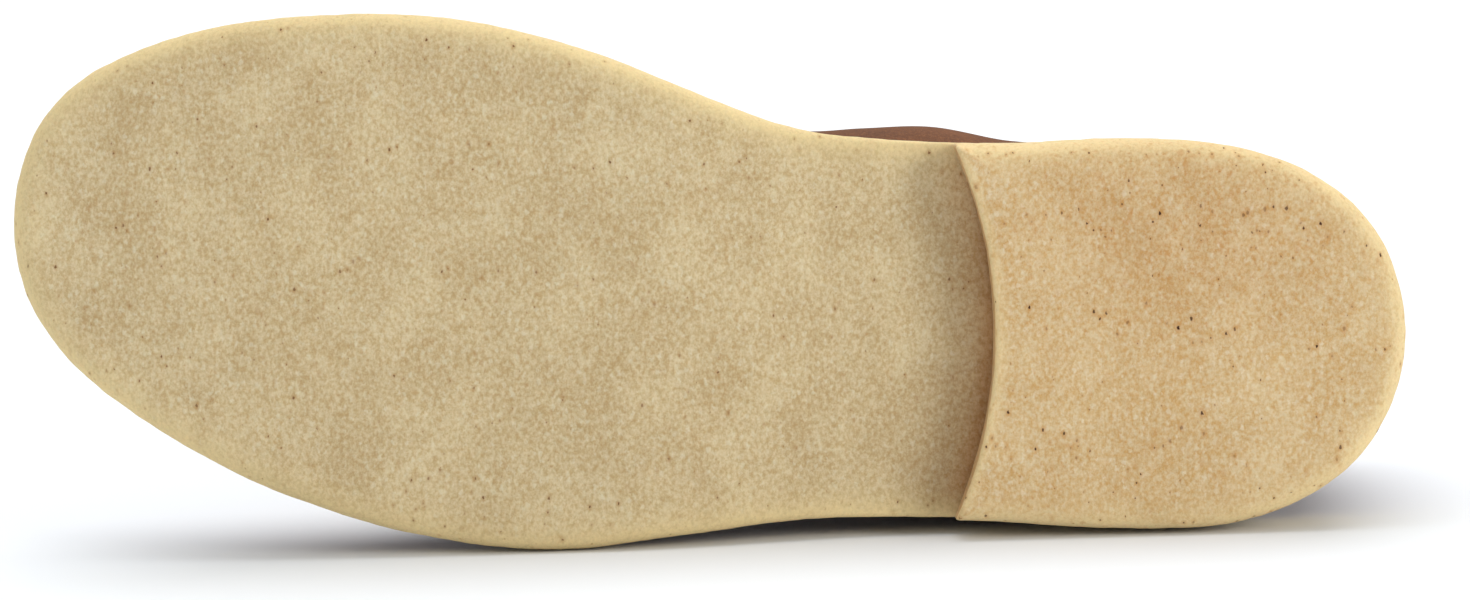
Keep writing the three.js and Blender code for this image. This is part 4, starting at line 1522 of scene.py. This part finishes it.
@dataclass
class Upper:
    """The leather upper: a vamp and two quarters, each turned out on the sole as a flange."""

    last: Last
    vamp_thickness: float = 1.8 * MM
    quarter_thickness: float = 1.6 * MM
    quarter_wall: float = 2.2 * MM
    overlap: float = 9 * MM
    fillet: float = 1.8 * MM
    eyelet_radius: float = 2.3 * MM
    eyelet_inset: float = 8 * MM
    top_eyelet: float = 15 * MM
    eyelet_spacing: float = 22 * MM
    flat_share: float = 0.6
    foot_rows: int = 9
    vamp_net: tuple[int, int] = (300, 58)
    quarter_net: tuple[int, int] = (190, 92)

    @property
    def eyelet_offset(self) -> float:
        """Distance of the lace holes from the middle of the slit, across the boot."""
        return self.last.throat_gap * 0.5 + self.eyelet_inset

    @property
    def eyelet_places(self) -> tuple[float, float]:
        """Places of the upper and the lower lace hole along the facing."""
        high = self.last.facing_length - self.top_eyelet
        return high, high - self.eyelet_spacing

    def creases(self, point: Array, normal: Array) -> Array:
        """Moves points of the leather in and out by its creases.

        Args:
            point: places on the leather.
            normal: its outward normals.

        Returns:
            The moved places.
        """
        x, y, z = point[..., 0], point[..., 1], point[..., 2]
        sunk = np.zeros(x.shape)
        for c in SIDE_CREASES:
            run = (x - c.x) * math.cos(c.slant) + (z - c.z) * math.sin(c.slant)
            off = (z - c.z) * math.cos(c.slant) - (x - c.x) * math.sin(c.slant)
            off = off + 0.12 * run * np.sin(run / (0.6 * c.reach))
            here = c.depth * np.exp(-((run / c.reach) ** 4))
            here = here * (1 if c.side == 0 else smoothstep(y * c.side, 4 * MM, 14 * MM))
            sunk += here * (bell(off, c.width) - 0.45 * bell(np.abs(off) - 2.1 * c.width, c.width))
        over = smoothstep(z, 34 * MM, 50 * MM)
        for at, slant, width, depth in VAMP_CREASES:
            off = x - at - slant * y - 1.6 * MM * np.sin(y / (9 * MM) + at * 400)
            sunk += depth * over * (bell(off, width) - 0.5 * bell(np.abs(off) - 2 * width, width))
        slack = 0.25 * MM * np.sin(x / (21 * MM) + 1.3) * np.sin(z / (17 * MM))
        slack *= smoothstep(z, 35 * MM, 60 * MM)
        return point + normal * (slack - sunk)[..., None]

    def flange(self, turn: Array, share: Array, rise: Array, inset: float, lift: Array) -> Array:
        """Points of the leather turned out on the sole.

        Args:
            turn: places round the edge.
            share: 0 at the cut edge to 1 where the wall takes over.
            rise: the wall's rise there.
            inset: of the wall.
            lift: how far it lies above the flange's own height.

        Returns:
            The points.
        """
        last = self.last
        z = last.seat(last.station(turn)) + last.flange_thickness + lift
        foot = last.flange_width + inset
        out = between(last.gap, foot - self.fillet, np.minimum(share / self.flat_share, 1))
        flat, corner = (np.stack([*last.edge(turn, at)[:2], z], axis=-1) for at in (out, foot))
        up = last.surface(turn, rise, inset)
        s = np.clip((share - self.flat_share) / (1 - self.flat_share), 0, 1)[..., None]
        return (1 - s) ** 2 * flat + 2 * s * (1 - s) * corner + s**2 * up

    def first_rise(self, turn: Array, inset: float) -> Array:
        """The rise at which the wall takes over from the flange's rounding.

        Args:
            turn: places round the edge.
            inset: of the wall.

        Returns:
            The rises there.
        """
        base = self.last.seat(self.last.station(turn)) + self.last.flange_thickness
        above = lambda r: self.last.surface(turn, r, inset)[..., 2] - base - self.fillet
        return solve(np.zeros(np.shape(turn)), np.full(np.shape(turn), 0.5), above, 24)

    def leather(self, net: tuple[int, int], inset: float, lay: Callable) -> bmesh.types.BMesh:
        """A sheet of the upper, from its flange up its wall.

        Args:
            net: how many faces it has across and up its wall.
            inset: of its surface in the last's.
            lay: gives turn, rise, lift of the flange and sink of the wall for shares across and up.

        Returns:
            The sheet, with its wear and its painted shade along the feather line.
        """
        columns, wall_rows = net
        rows = self.foot_rows + wall_rows

        def place(u: Array, v: Array) -> Array:
            """Lays out the sheet.

            Args:
                u: shares across it.
                v: shares up it.

            Returns:
                Its points.
            """
            index = np.rint(v * rows)
            climb = np.clip((index - self.foot_rows) / wall_rows, 0, 1)
            turn, rise, lift, sink = lay(u, climb)
            foot = self.flange(turn, np.clip(index / self.foot_rows, 0, 1), rise, inset, lift)
            smooth = self.last.surface(turn, rise, inset + sink)
            creased = self.creases(smooth, self.last.normal(turn, rise, inset))
            return np.where((index < self.foot_rows)[:, None], foot, creased)

        bm = lattice(columns, rows, place)
        points = positions(bm)
        keep_values(bm, {"worn": self.wear_of(points), "deep": self.feather_shade_of(points)})
        return bm

    def vamp(self, shop: Workshop, finishes: Finishes) -> bpy.types.Object:
        """Makes the front of the upper, whose rear edge lies under the quarters.

        Args:
            shop: where pieces are made.
            finishes: the materials.

        Returns:
            The piece.
        """
        last = self.last

        def lay(u: Array, climb: Array) -> tuple[Array, Array, Array, Array]:
            """Lays the vamp, lower where it goes under the quarters.

            Args:
                u: shares across it.
                climb: shares up its wall.

            Returns:
                Its turn, rise, lift and sink.
            """
            middle = np.full(u.shape, HALF_TURN)
            rise = between(self.first_rise(middle, 0.0), 1.0, climb)
            behind = lambda t: last.past_front(last.surface(t, rise, 0.0)) + self.overlap
            outer = solve(np.full(u.shape, 1.0), middle, behind)
            inner = FULL_TURN - solve(np.full(u.shape, 1.0), middle, lambda t: behind(FULL_TURN - t))
            eased = u + 0.06 * np.sin(FULL_TURN * u)
            turn = between(outer, inner, eased)
            rise = between(self.first_rise(turn, 0.0), 1.0, climb)
            under = 1 - smoothstep(np.minimum(eased, 1 - eased), 0.02, 0.1)
            return turn, rise, -0.7 * MM * under, 0.15 * MM * under

        bm = self.leather(self.vamp_net, 0.0, lay)
        bmesh.ops.remove_doubles(bm, verts=bm.verts, dist=0.05 * MM)
        face_away(bm, TOE_ROOM)
        piece = shop.piece("vamp", bm, finishes.sheet, "upper_leather", "upper")
        wall(piece, self.vamp_thickness)
        return piece

    def wear_of(self, point: Array) -> Array:
        """Where the leather is rubbed lighter: the toe's tip and the flange.

        Args:
            point: places on the leather, one a row.

        Returns:
            A share for each.
        """
        x, z = point[:, 0], point[:, 2]
        low = 1 - smoothstep(z - self.last.seat(x), 2.5 * MM, 14 * MM)
        toe = smoothstep(x, 272 * MM, 292 * MM)
        return np.clip(0.35 * low + 0.3 * toe, 0, 1)

    def feather_shade_of(self, point: Array) -> Array:
        """Painted shade along the feather line, where the leather meets the sole."""
        return 0.8 * bell(point[:, 2] - self.last.seat(point[:, 0]) - 3.0 * MM, 1.4 * MM)

    def quarter_grid(self, side: Side) -> Callable[[Array, Array], tuple[Array, Array]]:
        """The quarter's net of turns and rises between its four edges.

        Args:
            side: of the boot.

        Returns:
            A function that gives turn and rise for shares along the quarter and up it.
        """
        inset = -self.quarter_thickness
        turns, rises = self.collar_edge(side, 0.0)
        run = run_along(self.last.surface(side.turned(turns), rises, inset))
        run /= run[-1]
        corner = turns[-1]
        start = self.first_rise(side.turned(np.array([1.6])), inset)
        foot = float(self.front_edge(start, side, 0.0)[0])
        low_turns = np.linspace(0, foot, 300)
        low_rises = self.first_rise(side.turned(low_turns), inset)

        def grid(u: Array, v: Array) -> tuple[Array, Array]:
            """Lays the net.

            Args:
                u: shares along the quarter.
                v: shares up it.

            Returns:
                Turn and rise.
            """
            top_t, top_r = np.interp(u, run, turns), np.interp(u, run, rises)
            low_t = top_t * foot / corner
            low_r = np.interp(low_t, low_turns, low_rises)
            front = self.front_edge(between(low_rises[-1], rises[-1], v), side, 0.0)
            bulge = front - between(foot, corner, v)
            return side.turned(between(low_t, top_t, v) + u * bulge), between(low_r, top_r, v)

        return grid

    def collar_edge(self, side: Side, margin: float) -> tuple[Array, Array]:
        """A line along the collar and the facing of one quarter.

        Args:
            side: of the boot.
            margin: how far inside the cut edge it runs.

        Returns:
            Turns from the heel's back and rises of its points.
        """
        last, inset = self.last, -self.quarter_thickness

        def rise_at(turn: Array) -> Array:
            """Rise of the collar's line at some turns."""
            cut = lambda r: last.past_collar(last.surface(side.turned(turn), r, inset)) + margin
            return solve(np.full(turn.shape, 0.03), np.ones(turn.shape), cut)

        def past(turn: Array) -> Array:
            """How far the collar's line has run past the quarter's front edge."""
            return last.past_front(last.surface(side.turned(turn), rise_at(turn), inset)) + margin

        end = solve(np.array([1.5]), np.array([2.2]), past)[0]
        turns = np.linspace(0, end, 3000)
        return turns, rise_at(turns)

    def front_edge(self, rise: Array, side: Side, margin: float) -> Array:
        """A quarter's front edge, or a line a margin behind it.

        Args:
            rise: rises that it passes.
            side: of the boot.
            margin: to the cut edge.

        Returns:
            The turns at which it passes them.
        """
        spot = lambda t: self.last.surface(side.turned(t), rise, -self.quarter_thickness)
        ahead = lambda t: self.last.past_front(spot(t)) + margin
        return solve(np.full(rise.shape, 1.0), np.full(rise.shape, 2.4), ahead)

    def quarter(self, side: Side, shop: Workshop, finishes: Finishes) -> bpy.types.Object:
        """Makes one side of the upper's back, from the flange to the collar and the facing.

        Args:
            side: of the boot.
            shop: where pieces are made.
            finishes: the materials.

        Returns:
            The piece.
        """
        grid = self.quarter_grid(side)

        def lay(u: Array, climb: Array) -> tuple[Array, Array, Array, float]:
            """Turn, rise, lift and sink of the quarter, whose front lies on the vamp."""
            return *grid(u, climb), 0.9 * MM * smoothstep(u, 0.86, 0.99), 0.0

        bm = self.leather(self.quarter_net, -self.quarter_thickness, lay)
        face_away(bm, HEEL_ROOM)
        for centre, normal in self.eyelets(side):
            self.punch(bm, centre, normal)
        piece = shop.piece(f"quarter_{side.name.lower()}", bm, finishes.sheet, "upper_leather", "upper")
        wall(piece, self.quarter_wall)
        return piece

    def form(self, inset: float) -> BVHTree:
        """The whole last as a tree of faces to drop points on.

        Args:
            inset: how far it is moved inwards.

        Returns:
            The tree.
        """
        bm = lattice(240, 70, lambda u, v: self.last.surface(u * FULL_TURN, v, inset))
        tree = BVHTree.FromBMesh(bm)
        bm.free()
        return tree

    def on_facing(
        self, tree: BVHTree, place: float, sideways: float, lift: float = 0.0
    ) -> tuple[Vector, Vector]:
        """The leather's point at a place of the facing's frame.

        Args:
            tree: the form to drop it on.
            place: distance along the facing.
            sideways: distance across the boot.
            lift: distance above the leather.

        Returns:
            The point and the outward normal there.
        """
        last = self.last
        outwards = Vector(last.outwards)
        start = last.throat_base + last.along * place + last.across * sideways
        point, normal, _, _ = tree.ray_cast(Vector(start) + outwards * 0.3, -outwards)
        if normal.dot(outwards) < 0:
            normal = -normal
        return point + normal * lift, normal

    def eyelets(self, side: Side) -> list[tuple[Vector, Vector]]:
        """Centres and normals of the holes in one facing, the upper one first."""
        tree = self.form(-self.quarter_thickness)
        return [self.on_facing(tree, p, -side.value * self.eyelet_offset) for p in self.eyelet_places]

    def punch(self, bm: bmesh.types.BMesh, centre: Vector, normal: Vector) -> None:
        """Cuts a round lace hole in a sheet.

        Args:
            bm: the sheet.
            centre: of the hole.
            normal: of the leather there.
        """
        reach = 2.2 * self.eyelet_radius
        near = [e for e in bm.edges if all((v.co - centre).length < reach for v in e.verts)]
        bmesh.ops.subdivide_edges(bm, edges=near, cuts=2, use_grid_fill=True)

        def covered(point: Vector) -> bool:
            """Whether a point lies in the hole.

            Args:
                point: the middle of a face.

            Returns:
                True in the hole.
            """
            span = point - centre
            off_axis = (span - normal * span.dot(normal)).length
            return span.length < 2 * self.eyelet_radius and off_axis < self.eyelet_radius

        gone = [f for f in bm.faces if covered(f.calc_center_median())]
        bmesh.ops.delete(bm, geom=gone, context="FACES")
        for vert in bm.verts:
            if vert.is_boundary and (vert.co - centre).length < 2 * self.eyelet_radius:
                span = vert.co - centre
                along = normal * span.dot(normal)
                vert.co = centre + along + (span - along).normalized() * self.eyelet_radius


@dataclass
class Seam:
    """A row of stitches."""

    pitch: float
    stitch: float
    radius: float = 0.32 * MM

    def sew(self, whole: bmesh.types.BMesh, path: Array, normals: Array) -> None:
        """Adds a stitch at each pitch of a path.

        Args:
            whole: the mesh of all the stitches.
            path: points on the leather, one a row.
            normals: outward normals there.
        """
        run = run_along(path)
        count = int(run[-1] / self.pitch)
        bm = bmesh.new()
        bm.loops.layers.uv.new("UVMap")
        for i in range(count):
            at = (i + 0.5) * run[-1] / count
            ends = [rows_at(at + d, run, path) for d in (-MM, MM)]
            middle = Vector((ends[0] + ends[1]) / 2)
            ahead = Vector(ends[1] - ends[0]).normalized()
            up = Vector(rows_at(at, run, normals)).normalized()
            side = up.cross(ahead).normalized()
            turned = Matrix((ahead, side, ahead.cross(side))).transposed().to_4x4()
            size = Matrix.Diagonal((self.stitch / 2, self.radius, self.radius * 0.8, 1))
            where = Matrix.Translation(middle + up * self.radius * 0.25) @ turned @ size
            bmesh.ops.create_uvsphere(bm, u_segments=6, v_segments=4, radius=1, matrix=where, calc_uvs=True)
            if len(bm.verts) > 1500 or i == count - 1:
                pour(bm, whole)


@dataclass
class Stitching:
    """All the thread that shows on the upper."""

    upper: Upper
    welt: Seam = field(default_factory=lambda: Seam(4.2 * MM, 3.3 * MM, 0.45 * MM))
    fine: Seam = field(default_factory=lambda: Seam(2.6 * MM, 2.0 * MM, 0.28 * MM))
    welt_inset: float = 2.8 * MM
    margin: float = 2.4 * MM
    back_turn: float = 0.035

    def build(self, shop: Workshop, finishes: Finishes) -> bpy.types.Object:
        """Sews the flange, the quarters' fronts, the facings and the collar.

        Args:
            shop: where pieces are made.
            finishes: the materials.

        Returns:
            The piece.
        """
        bm = bmesh.new()
        bm.loops.layers.uv.new("UVMap")
        last, inset = self.upper.last, -self.upper.quarter_thickness
        turn = np.linspace(0, FULL_TURN, 900)
        x, y, _, _ = last.edge(turn, self.welt_inset)
        path = np.stack([x, y, last.seat(last.station(turn)) + last.flange_thickness], axis=-1)
        self.welt.sew(bm, path, np.tile([0.0, 0.0, 1.0], (len(turn), 1)))
        for side in Side:
            turns, rises = self.upper.collar_edge(side, self.margin)
            self.line(bm, side.turned(turns), rises)
            low = self.upper.first_rise(np.array([0.0]), inset)[0]
            up = np.linspace(low, rises[0], 120)
            self.line(bm, side.turned(np.full(up.shape, self.back_turn)), up)
            for margin in (self.margin, 2 * self.margin):
                up = np.linspace(low + 0.02, rises[-1] - 0.01, 120)
                self.line(bm, side.turned(self.upper.front_edge(up, side, margin)), up)
        return shop.piece("stitching", bm, [finishes.thread], "upper_leather")

    def line(self, bm: bmesh.types.BMesh, turn: Array, rise: Array) -> None:
        """Sews one row along a line of turns and rises on the quarters.

        Args:
            bm: the mesh of all the stitches.
            turn: places round the edge.
            rise: rises there.
        """
        inset = -self.upper.quarter_thickness
        normal = self.upper.last.normal(turn, rise, inset)
        self.fine.sew(bm, self.upper.creases(self.upper.last.surface(turn, rise, inset), normal), normal)


@dataclass
class Tongue:
    """The tongue, which lies under the facings and stands above the collar."""

    upper: Upper
    thickness: float = 2 * MM
    width: float = 52 * MM
    rise: float = 14 * MM
    root: float = 12 * MM
    gap: float = 0.3 * MM

    def build(self, shop: Workshop, finishes: Finishes) -> bpy.types.Object:
        """Makes the piece.

        Args:
            shop: where pieces are made.
            finishes: the materials.

        Returns:
            The piece.
        """
        tree = self.upper.form(self.upper.vamp_thickness + self.gap)
        length = self.upper.last.facing_length + self.rise
        half = self.width / 2

        def place(u: Array, v: Array) -> Array:
            """Lays out the tongue, with rounded corners at its end.

            Args:
                u: shares across it.
                v: shares up it.

            Returns:
                Its points.
            """
            corner = np.clip(np.abs(u * 2 - 1) * 2 - 1, 0, 1)
            end = length - half / 2 * (1 - np.sqrt(1 - corner**2))
            at = between(-self.root, end, v)
            side = (u * 2 - 1) * between(half * 0.7, half, np.clip(v * 1.1, 0, 1))
            found = [self.upper.on_facing(tree, a, s, 0.0)[0] for a, s in zip(at, side)]
            return np.array([p[:] for p in found])

        columns, rows = 56, 84
        bm = lattice(columns, rows, place)
        share = np.repeat(np.linspace(0, 1, rows + 1), columns + 1)
        keep_values(bm, {"worn": 0.2 * share, "deep": np.zeros(len(share))})
        face_away(bm, HEEL_ROOM)
        piece = shop.piece("tongue_leather", bm, finishes.sheet, "upper_leather", "tongue")
        wall(piece, self.thickness)
        return piece


@dataclass
class Insole:
    """The leather insole on the outsole, inside the upper's wall."""

    last: Last
    wall: float = 1.8 * MM
    thickness: float = 3 * MM
    rounding: float = 0.5 * MM
    spine_from: float = 44 * MM

    def build(self, shop: Workshop, finishes: Finishes) -> bpy.types.Object:
        """Makes the piece.

        Args:
            shop: where pieces are made.
            finishes: the materials.

        Returns:
            The piece.
        """
        last = self.last
        rows = slab_rows(26, 3, 2, 4)

        def place(u: Array, v: Array) -> Array:
            """Lays out the insole.

            Args:
                u: shares round its edge.
                v: shares through its rings.

            Returns:
                Its points.
            """
            row, turn = ring_at(rows, v), u * FULL_TURN
            inset = last.flange_width + self.wall + last.gap
            inset = inset + self.rounding * (row.inset_top + row.inset_bottom)
            x, y, _, _ = last.edge(turn, inset)
            spine_x, spine_y = last.spine(turn, self.spine_from)
            x, y = between(x, spine_x, row.inwards), between(y, spine_y, row.inwards)
            lift = self.thickness * row.lift_thickness + self.rounding * (row.lift_top + row.lift_bottom)
            return np.stack([x, y, last.seat(x) + lift], axis=-1)

        bm = lattice(260, len(rows) - 1, place)
        points = positions(bm)
        worn = 0.5 * bell(np.hypot(points[:, 0] - 50 * MM, points[:, 1]), 26 * MM)
        worn += 0.4 * bell(np.hypot(points[:, 0] - 205 * MM, points[:, 1]), 34 * MM)
        keep_values(bm, {"worn": worn, "deep": np.zeros(len(points))})
        close_up(bm, 0.02 * MM)
        return shop.piece("insole_board", bm, [finishes.insole], "lining_leather", "insole")


@dataclass
class Lace:
    """Two strands that cross over the throat, from the lower holes to the upper ones."""

    upper: Upper
    radius: float = 1.4 * MM
    gap: float = 0.3 * MM
    crossing: float = 0.9 * MM
    around: int = 16
    steps: int = 90

    def strand(self, tree: BVHTree, side: int) -> bmesh.types.BMesh:
        """One strand as a closed tube.

        Args:
            tree: the quarters' form.
            side: which lower hole it starts in.

        Returns:
            Its mesh.
        """
        high, low = self.upper.eyelet_places
        lift, over = self.radius + self.gap, self.crossing if side > 0 else 0
        knots = [(0, -2.4 * lift), (0, -lift)]
        knots += [(share, lift + over * bell(share - 0.5, 0.12)) for share in np.linspace(0, 1, 9)]
        knots += [(1, -lift), (1, -2.4 * lift)]
        spots = []
        for share, height in knots:
            sideways = side * self.upper.eyelet_offset * (1 - 2 * share)
            spots.append(self.upper.on_facing(tree, between(low, high, share), sideways, height)[0][:])
        line = rounded_line(np.array(spots), 12)
        run = run_along(line)
        path = rows_at(np.linspace(0, run[-1], self.steps + 1), run, line)
        for _ in range(4):
            path[1:-1] = (path[:-2] + 2 * path[1:-1] + path[2:]) / 4
        ahead = np.gradient(path, axis=0)
        ahead /= np.linalg.norm(ahead, axis=1, keepdims=True)
        first = np.cross(ahead, self.upper.last.along)
        first /= np.linalg.norm(first, axis=1, keepdims=True)
        second = np.cross(ahead, first)

        def place(u: Array, v: Array) -> Array:
            """Lays out the tube, with rounded ends.

            Args:
                u: shares round it.
                v: shares along it.

            Returns:
                Its points.
            """
            i = np.rint(v * self.steps).astype(int)
            angle = (u * FULL_TURN)[:, None]
            close = np.sqrt(1 - np.clip(1 - np.minimum(i, self.steps - i) / 2, 0, 1) ** 2 * 0.998)[:, None]
            return path[i] + (first[i] * np.cos(angle) + second[i] * np.sin(angle)) * self.radius * close

        bm = lattice(self.around, self.steps, place)
        layer, turns_long = bm.loops.layers.uv.active, run[-1] / (FULL_TURN * self.radius)
        for face in bm.faces:
            for loop in face.loops:
                u, v = loop[layer].uv
                loop[layer].uv = (v * turns_long, u)
        close_up(bm, 0.01 * MM)
        return bm

    def build(self, shop: Workshop, finishes: Finishes) -> bpy.types.Object:
        """Makes both strands one piece.

        Args:
            shop: where pieces are made.
            finishes: the materials.

        Returns:
            The piece.
        """
        tree = self.upper.form(-self.upper.quarter_thickness)
        whole, other = self.strand(tree, -1), self.strand(tree, 1)
        pour(other, whole)
        other.free()
        return shop.piece("lace_strands", whole, [finishes.lace], "lace_cord", "lace")


@dataclass(frozen=True)
class Softbox:
    """One large soft light, far enough off to be even all over the boot."""

    name: str
    towards: tuple[float, float, float]
    spread: float
    strength: float
    tint: tuple[float, float, float] = (1.0, 1.0, 1.0)

    def hang(self) -> None:
        """Adds the light to the scene."""
        light = bpy.data.lights.new(self.name, "SUN")
        light.angle = math.radians(self.spread)
        light.energy = self.strength
        light.color = self.tint
        lamp = bpy.data.objects.new(self.name, light)
        lamp.rotation_mode = "QUATERNION"
        lamp.rotation_quaternion = (-Vector(self.towards)).to_track_quat("-Z", "Y")
        bpy.context.scene.collection.objects.link(lamp)


@dataclass(frozen=True)
class Studio:
    """A white floor, soft lights and the camera that looks at the sole."""

    azimuth: float = math.radians(0.1)
    elevation: float = math.radians(6.5)
    roll: float = math.radians(1.6)
    distance: float = 1.2
    target: tuple[float, float, float] = (0.0057, 0.0, 0.0463)
    lens: float = 130.9
    floor_size: float = 8.0
    floor_tints: tuple[Colour, Colour] = ((0.845, 0.865, 0.895, 1), (0.865, 0.88, 0.905, 1))
    sky_tint: Colour = (0.87, 0.94, 1.0, 1.0)
    sky_strength: float = 0.54
    softboxes: tuple[Softbox, ...] = (
        Softbox("top", (0.0, 0.32, 0.95), 68.0, 2.35, (1.0, 0.985, 0.96)),
        Softbox("key", (0.76, -0.57, 0.32), 24.0, 1.13, (1.0, 0.99, 0.97)),
        Softbox("fill", (-0.75, -0.3, 0.6), 40.0, 0.16),
    )

    def floor(self) -> None:
        """Lays a plain white floor."""
        bm = bmesh.new()
        bmesh.ops.create_grid(bm, x_segments=1, y_segments=1, size=self.floor_size)
        mesh = bpy.data.meshes.new("floor")
        bm.to_mesh(mesh)
        bm.free()
        material, g = new_material("floor_white")
        shade = g.noise(g.place(), 3.0, 2.0)
        colour = g.blend(g.step(shade, 0.3, 0.7), *self.floor_tints)
        g.surface({"Roughness": 0.9, "Specular IOR Level": 0.1}, Base_Color=colour)
        mesh.materials.append(material)
        floor = bpy.data.objects.new("floor", mesh)
        bpy.context.scene.collection.objects.link(floor)

    def sky(self) -> None:
        """Surrounds the scene with even white light."""
        world = bpy.data.worlds.new("studio_white")
        world.use_nodes = True
        back = world.node_tree.nodes["Background"]
        back.inputs["Color"].default_value = self.sky_tint
        back.inputs["Strength"].default_value = self.sky_strength
        bpy.context.scene.world = world

    def camera(self) -> None:
        """Stands the camera where the sole is seen almost square on."""
        a, e, r = self.azimuth, self.elevation, self.roll
        look = Vector((-math.sin(a) * math.cos(e), math.cos(a) * math.cos(e), -math.sin(e)))
        right = Vector((math.cos(a), math.sin(a), 0))
        up = right.cross(look)
        turned_right = right * math.cos(r) - up * math.sin(r)
        turned_up = right * math.sin(r) + up * math.cos(r)
        data = bpy.data.cameras.new("camera")
        data.sensor_fit = "HORIZONTAL"
        data.sensor_width = 36.0
        data.lens = self.lens
        data.clip_start, data.clip_end = 0.05, 50.0
        camera = bpy.data.objects.new("camera", data)
        turned = Matrix((turned_right, turned_up, -look)).transposed().to_4x4()
        camera.matrix_world = Matrix.Translation(Vector(self.target) - look * self.distance) @ turned
        bpy.context.scene.collection.objects.link(camera)
        bpy.context.scene.camera = camera

    def build(self) -> None:
        """Sets up the whole studio."""
        self.floor()
        self.sky()
        self.camera()
        for softbox in self.softboxes:
            softbox.hang()
        view = bpy.context.scene.view_settings
        view.view_transform = "Standard"
        view.look = "None"
        view.exposure = 0.0


def main() -> None:
    """Builds the boot's pieces in order, then the studio."""
    logging.basicConfig(level=logging.INFO, format="%(relativeCreated)6d ms  %(message)s")
    last = Last()
    shop = Workshop(Stance().matrix(frame["record"]))
    finishes = Finishes.make()
    upper = Upper(last)
    makers = [CrepeOutsole(last).build, CrepeHeel(last).build, upper.vamp]
    makers += [partial(upper.quarter, side) for side in Side]
    makers += [thing.build for thing in (Stitching(upper), Tongue(upper), Insole(last), Lace(upper))]
    for make in makers:
        piece = make(shop, finishes)
        log.info("%s: %d faces", piece.name, len(piece.data.polygons))
    Studio().build()


if __name__ == "__main__":
    main()
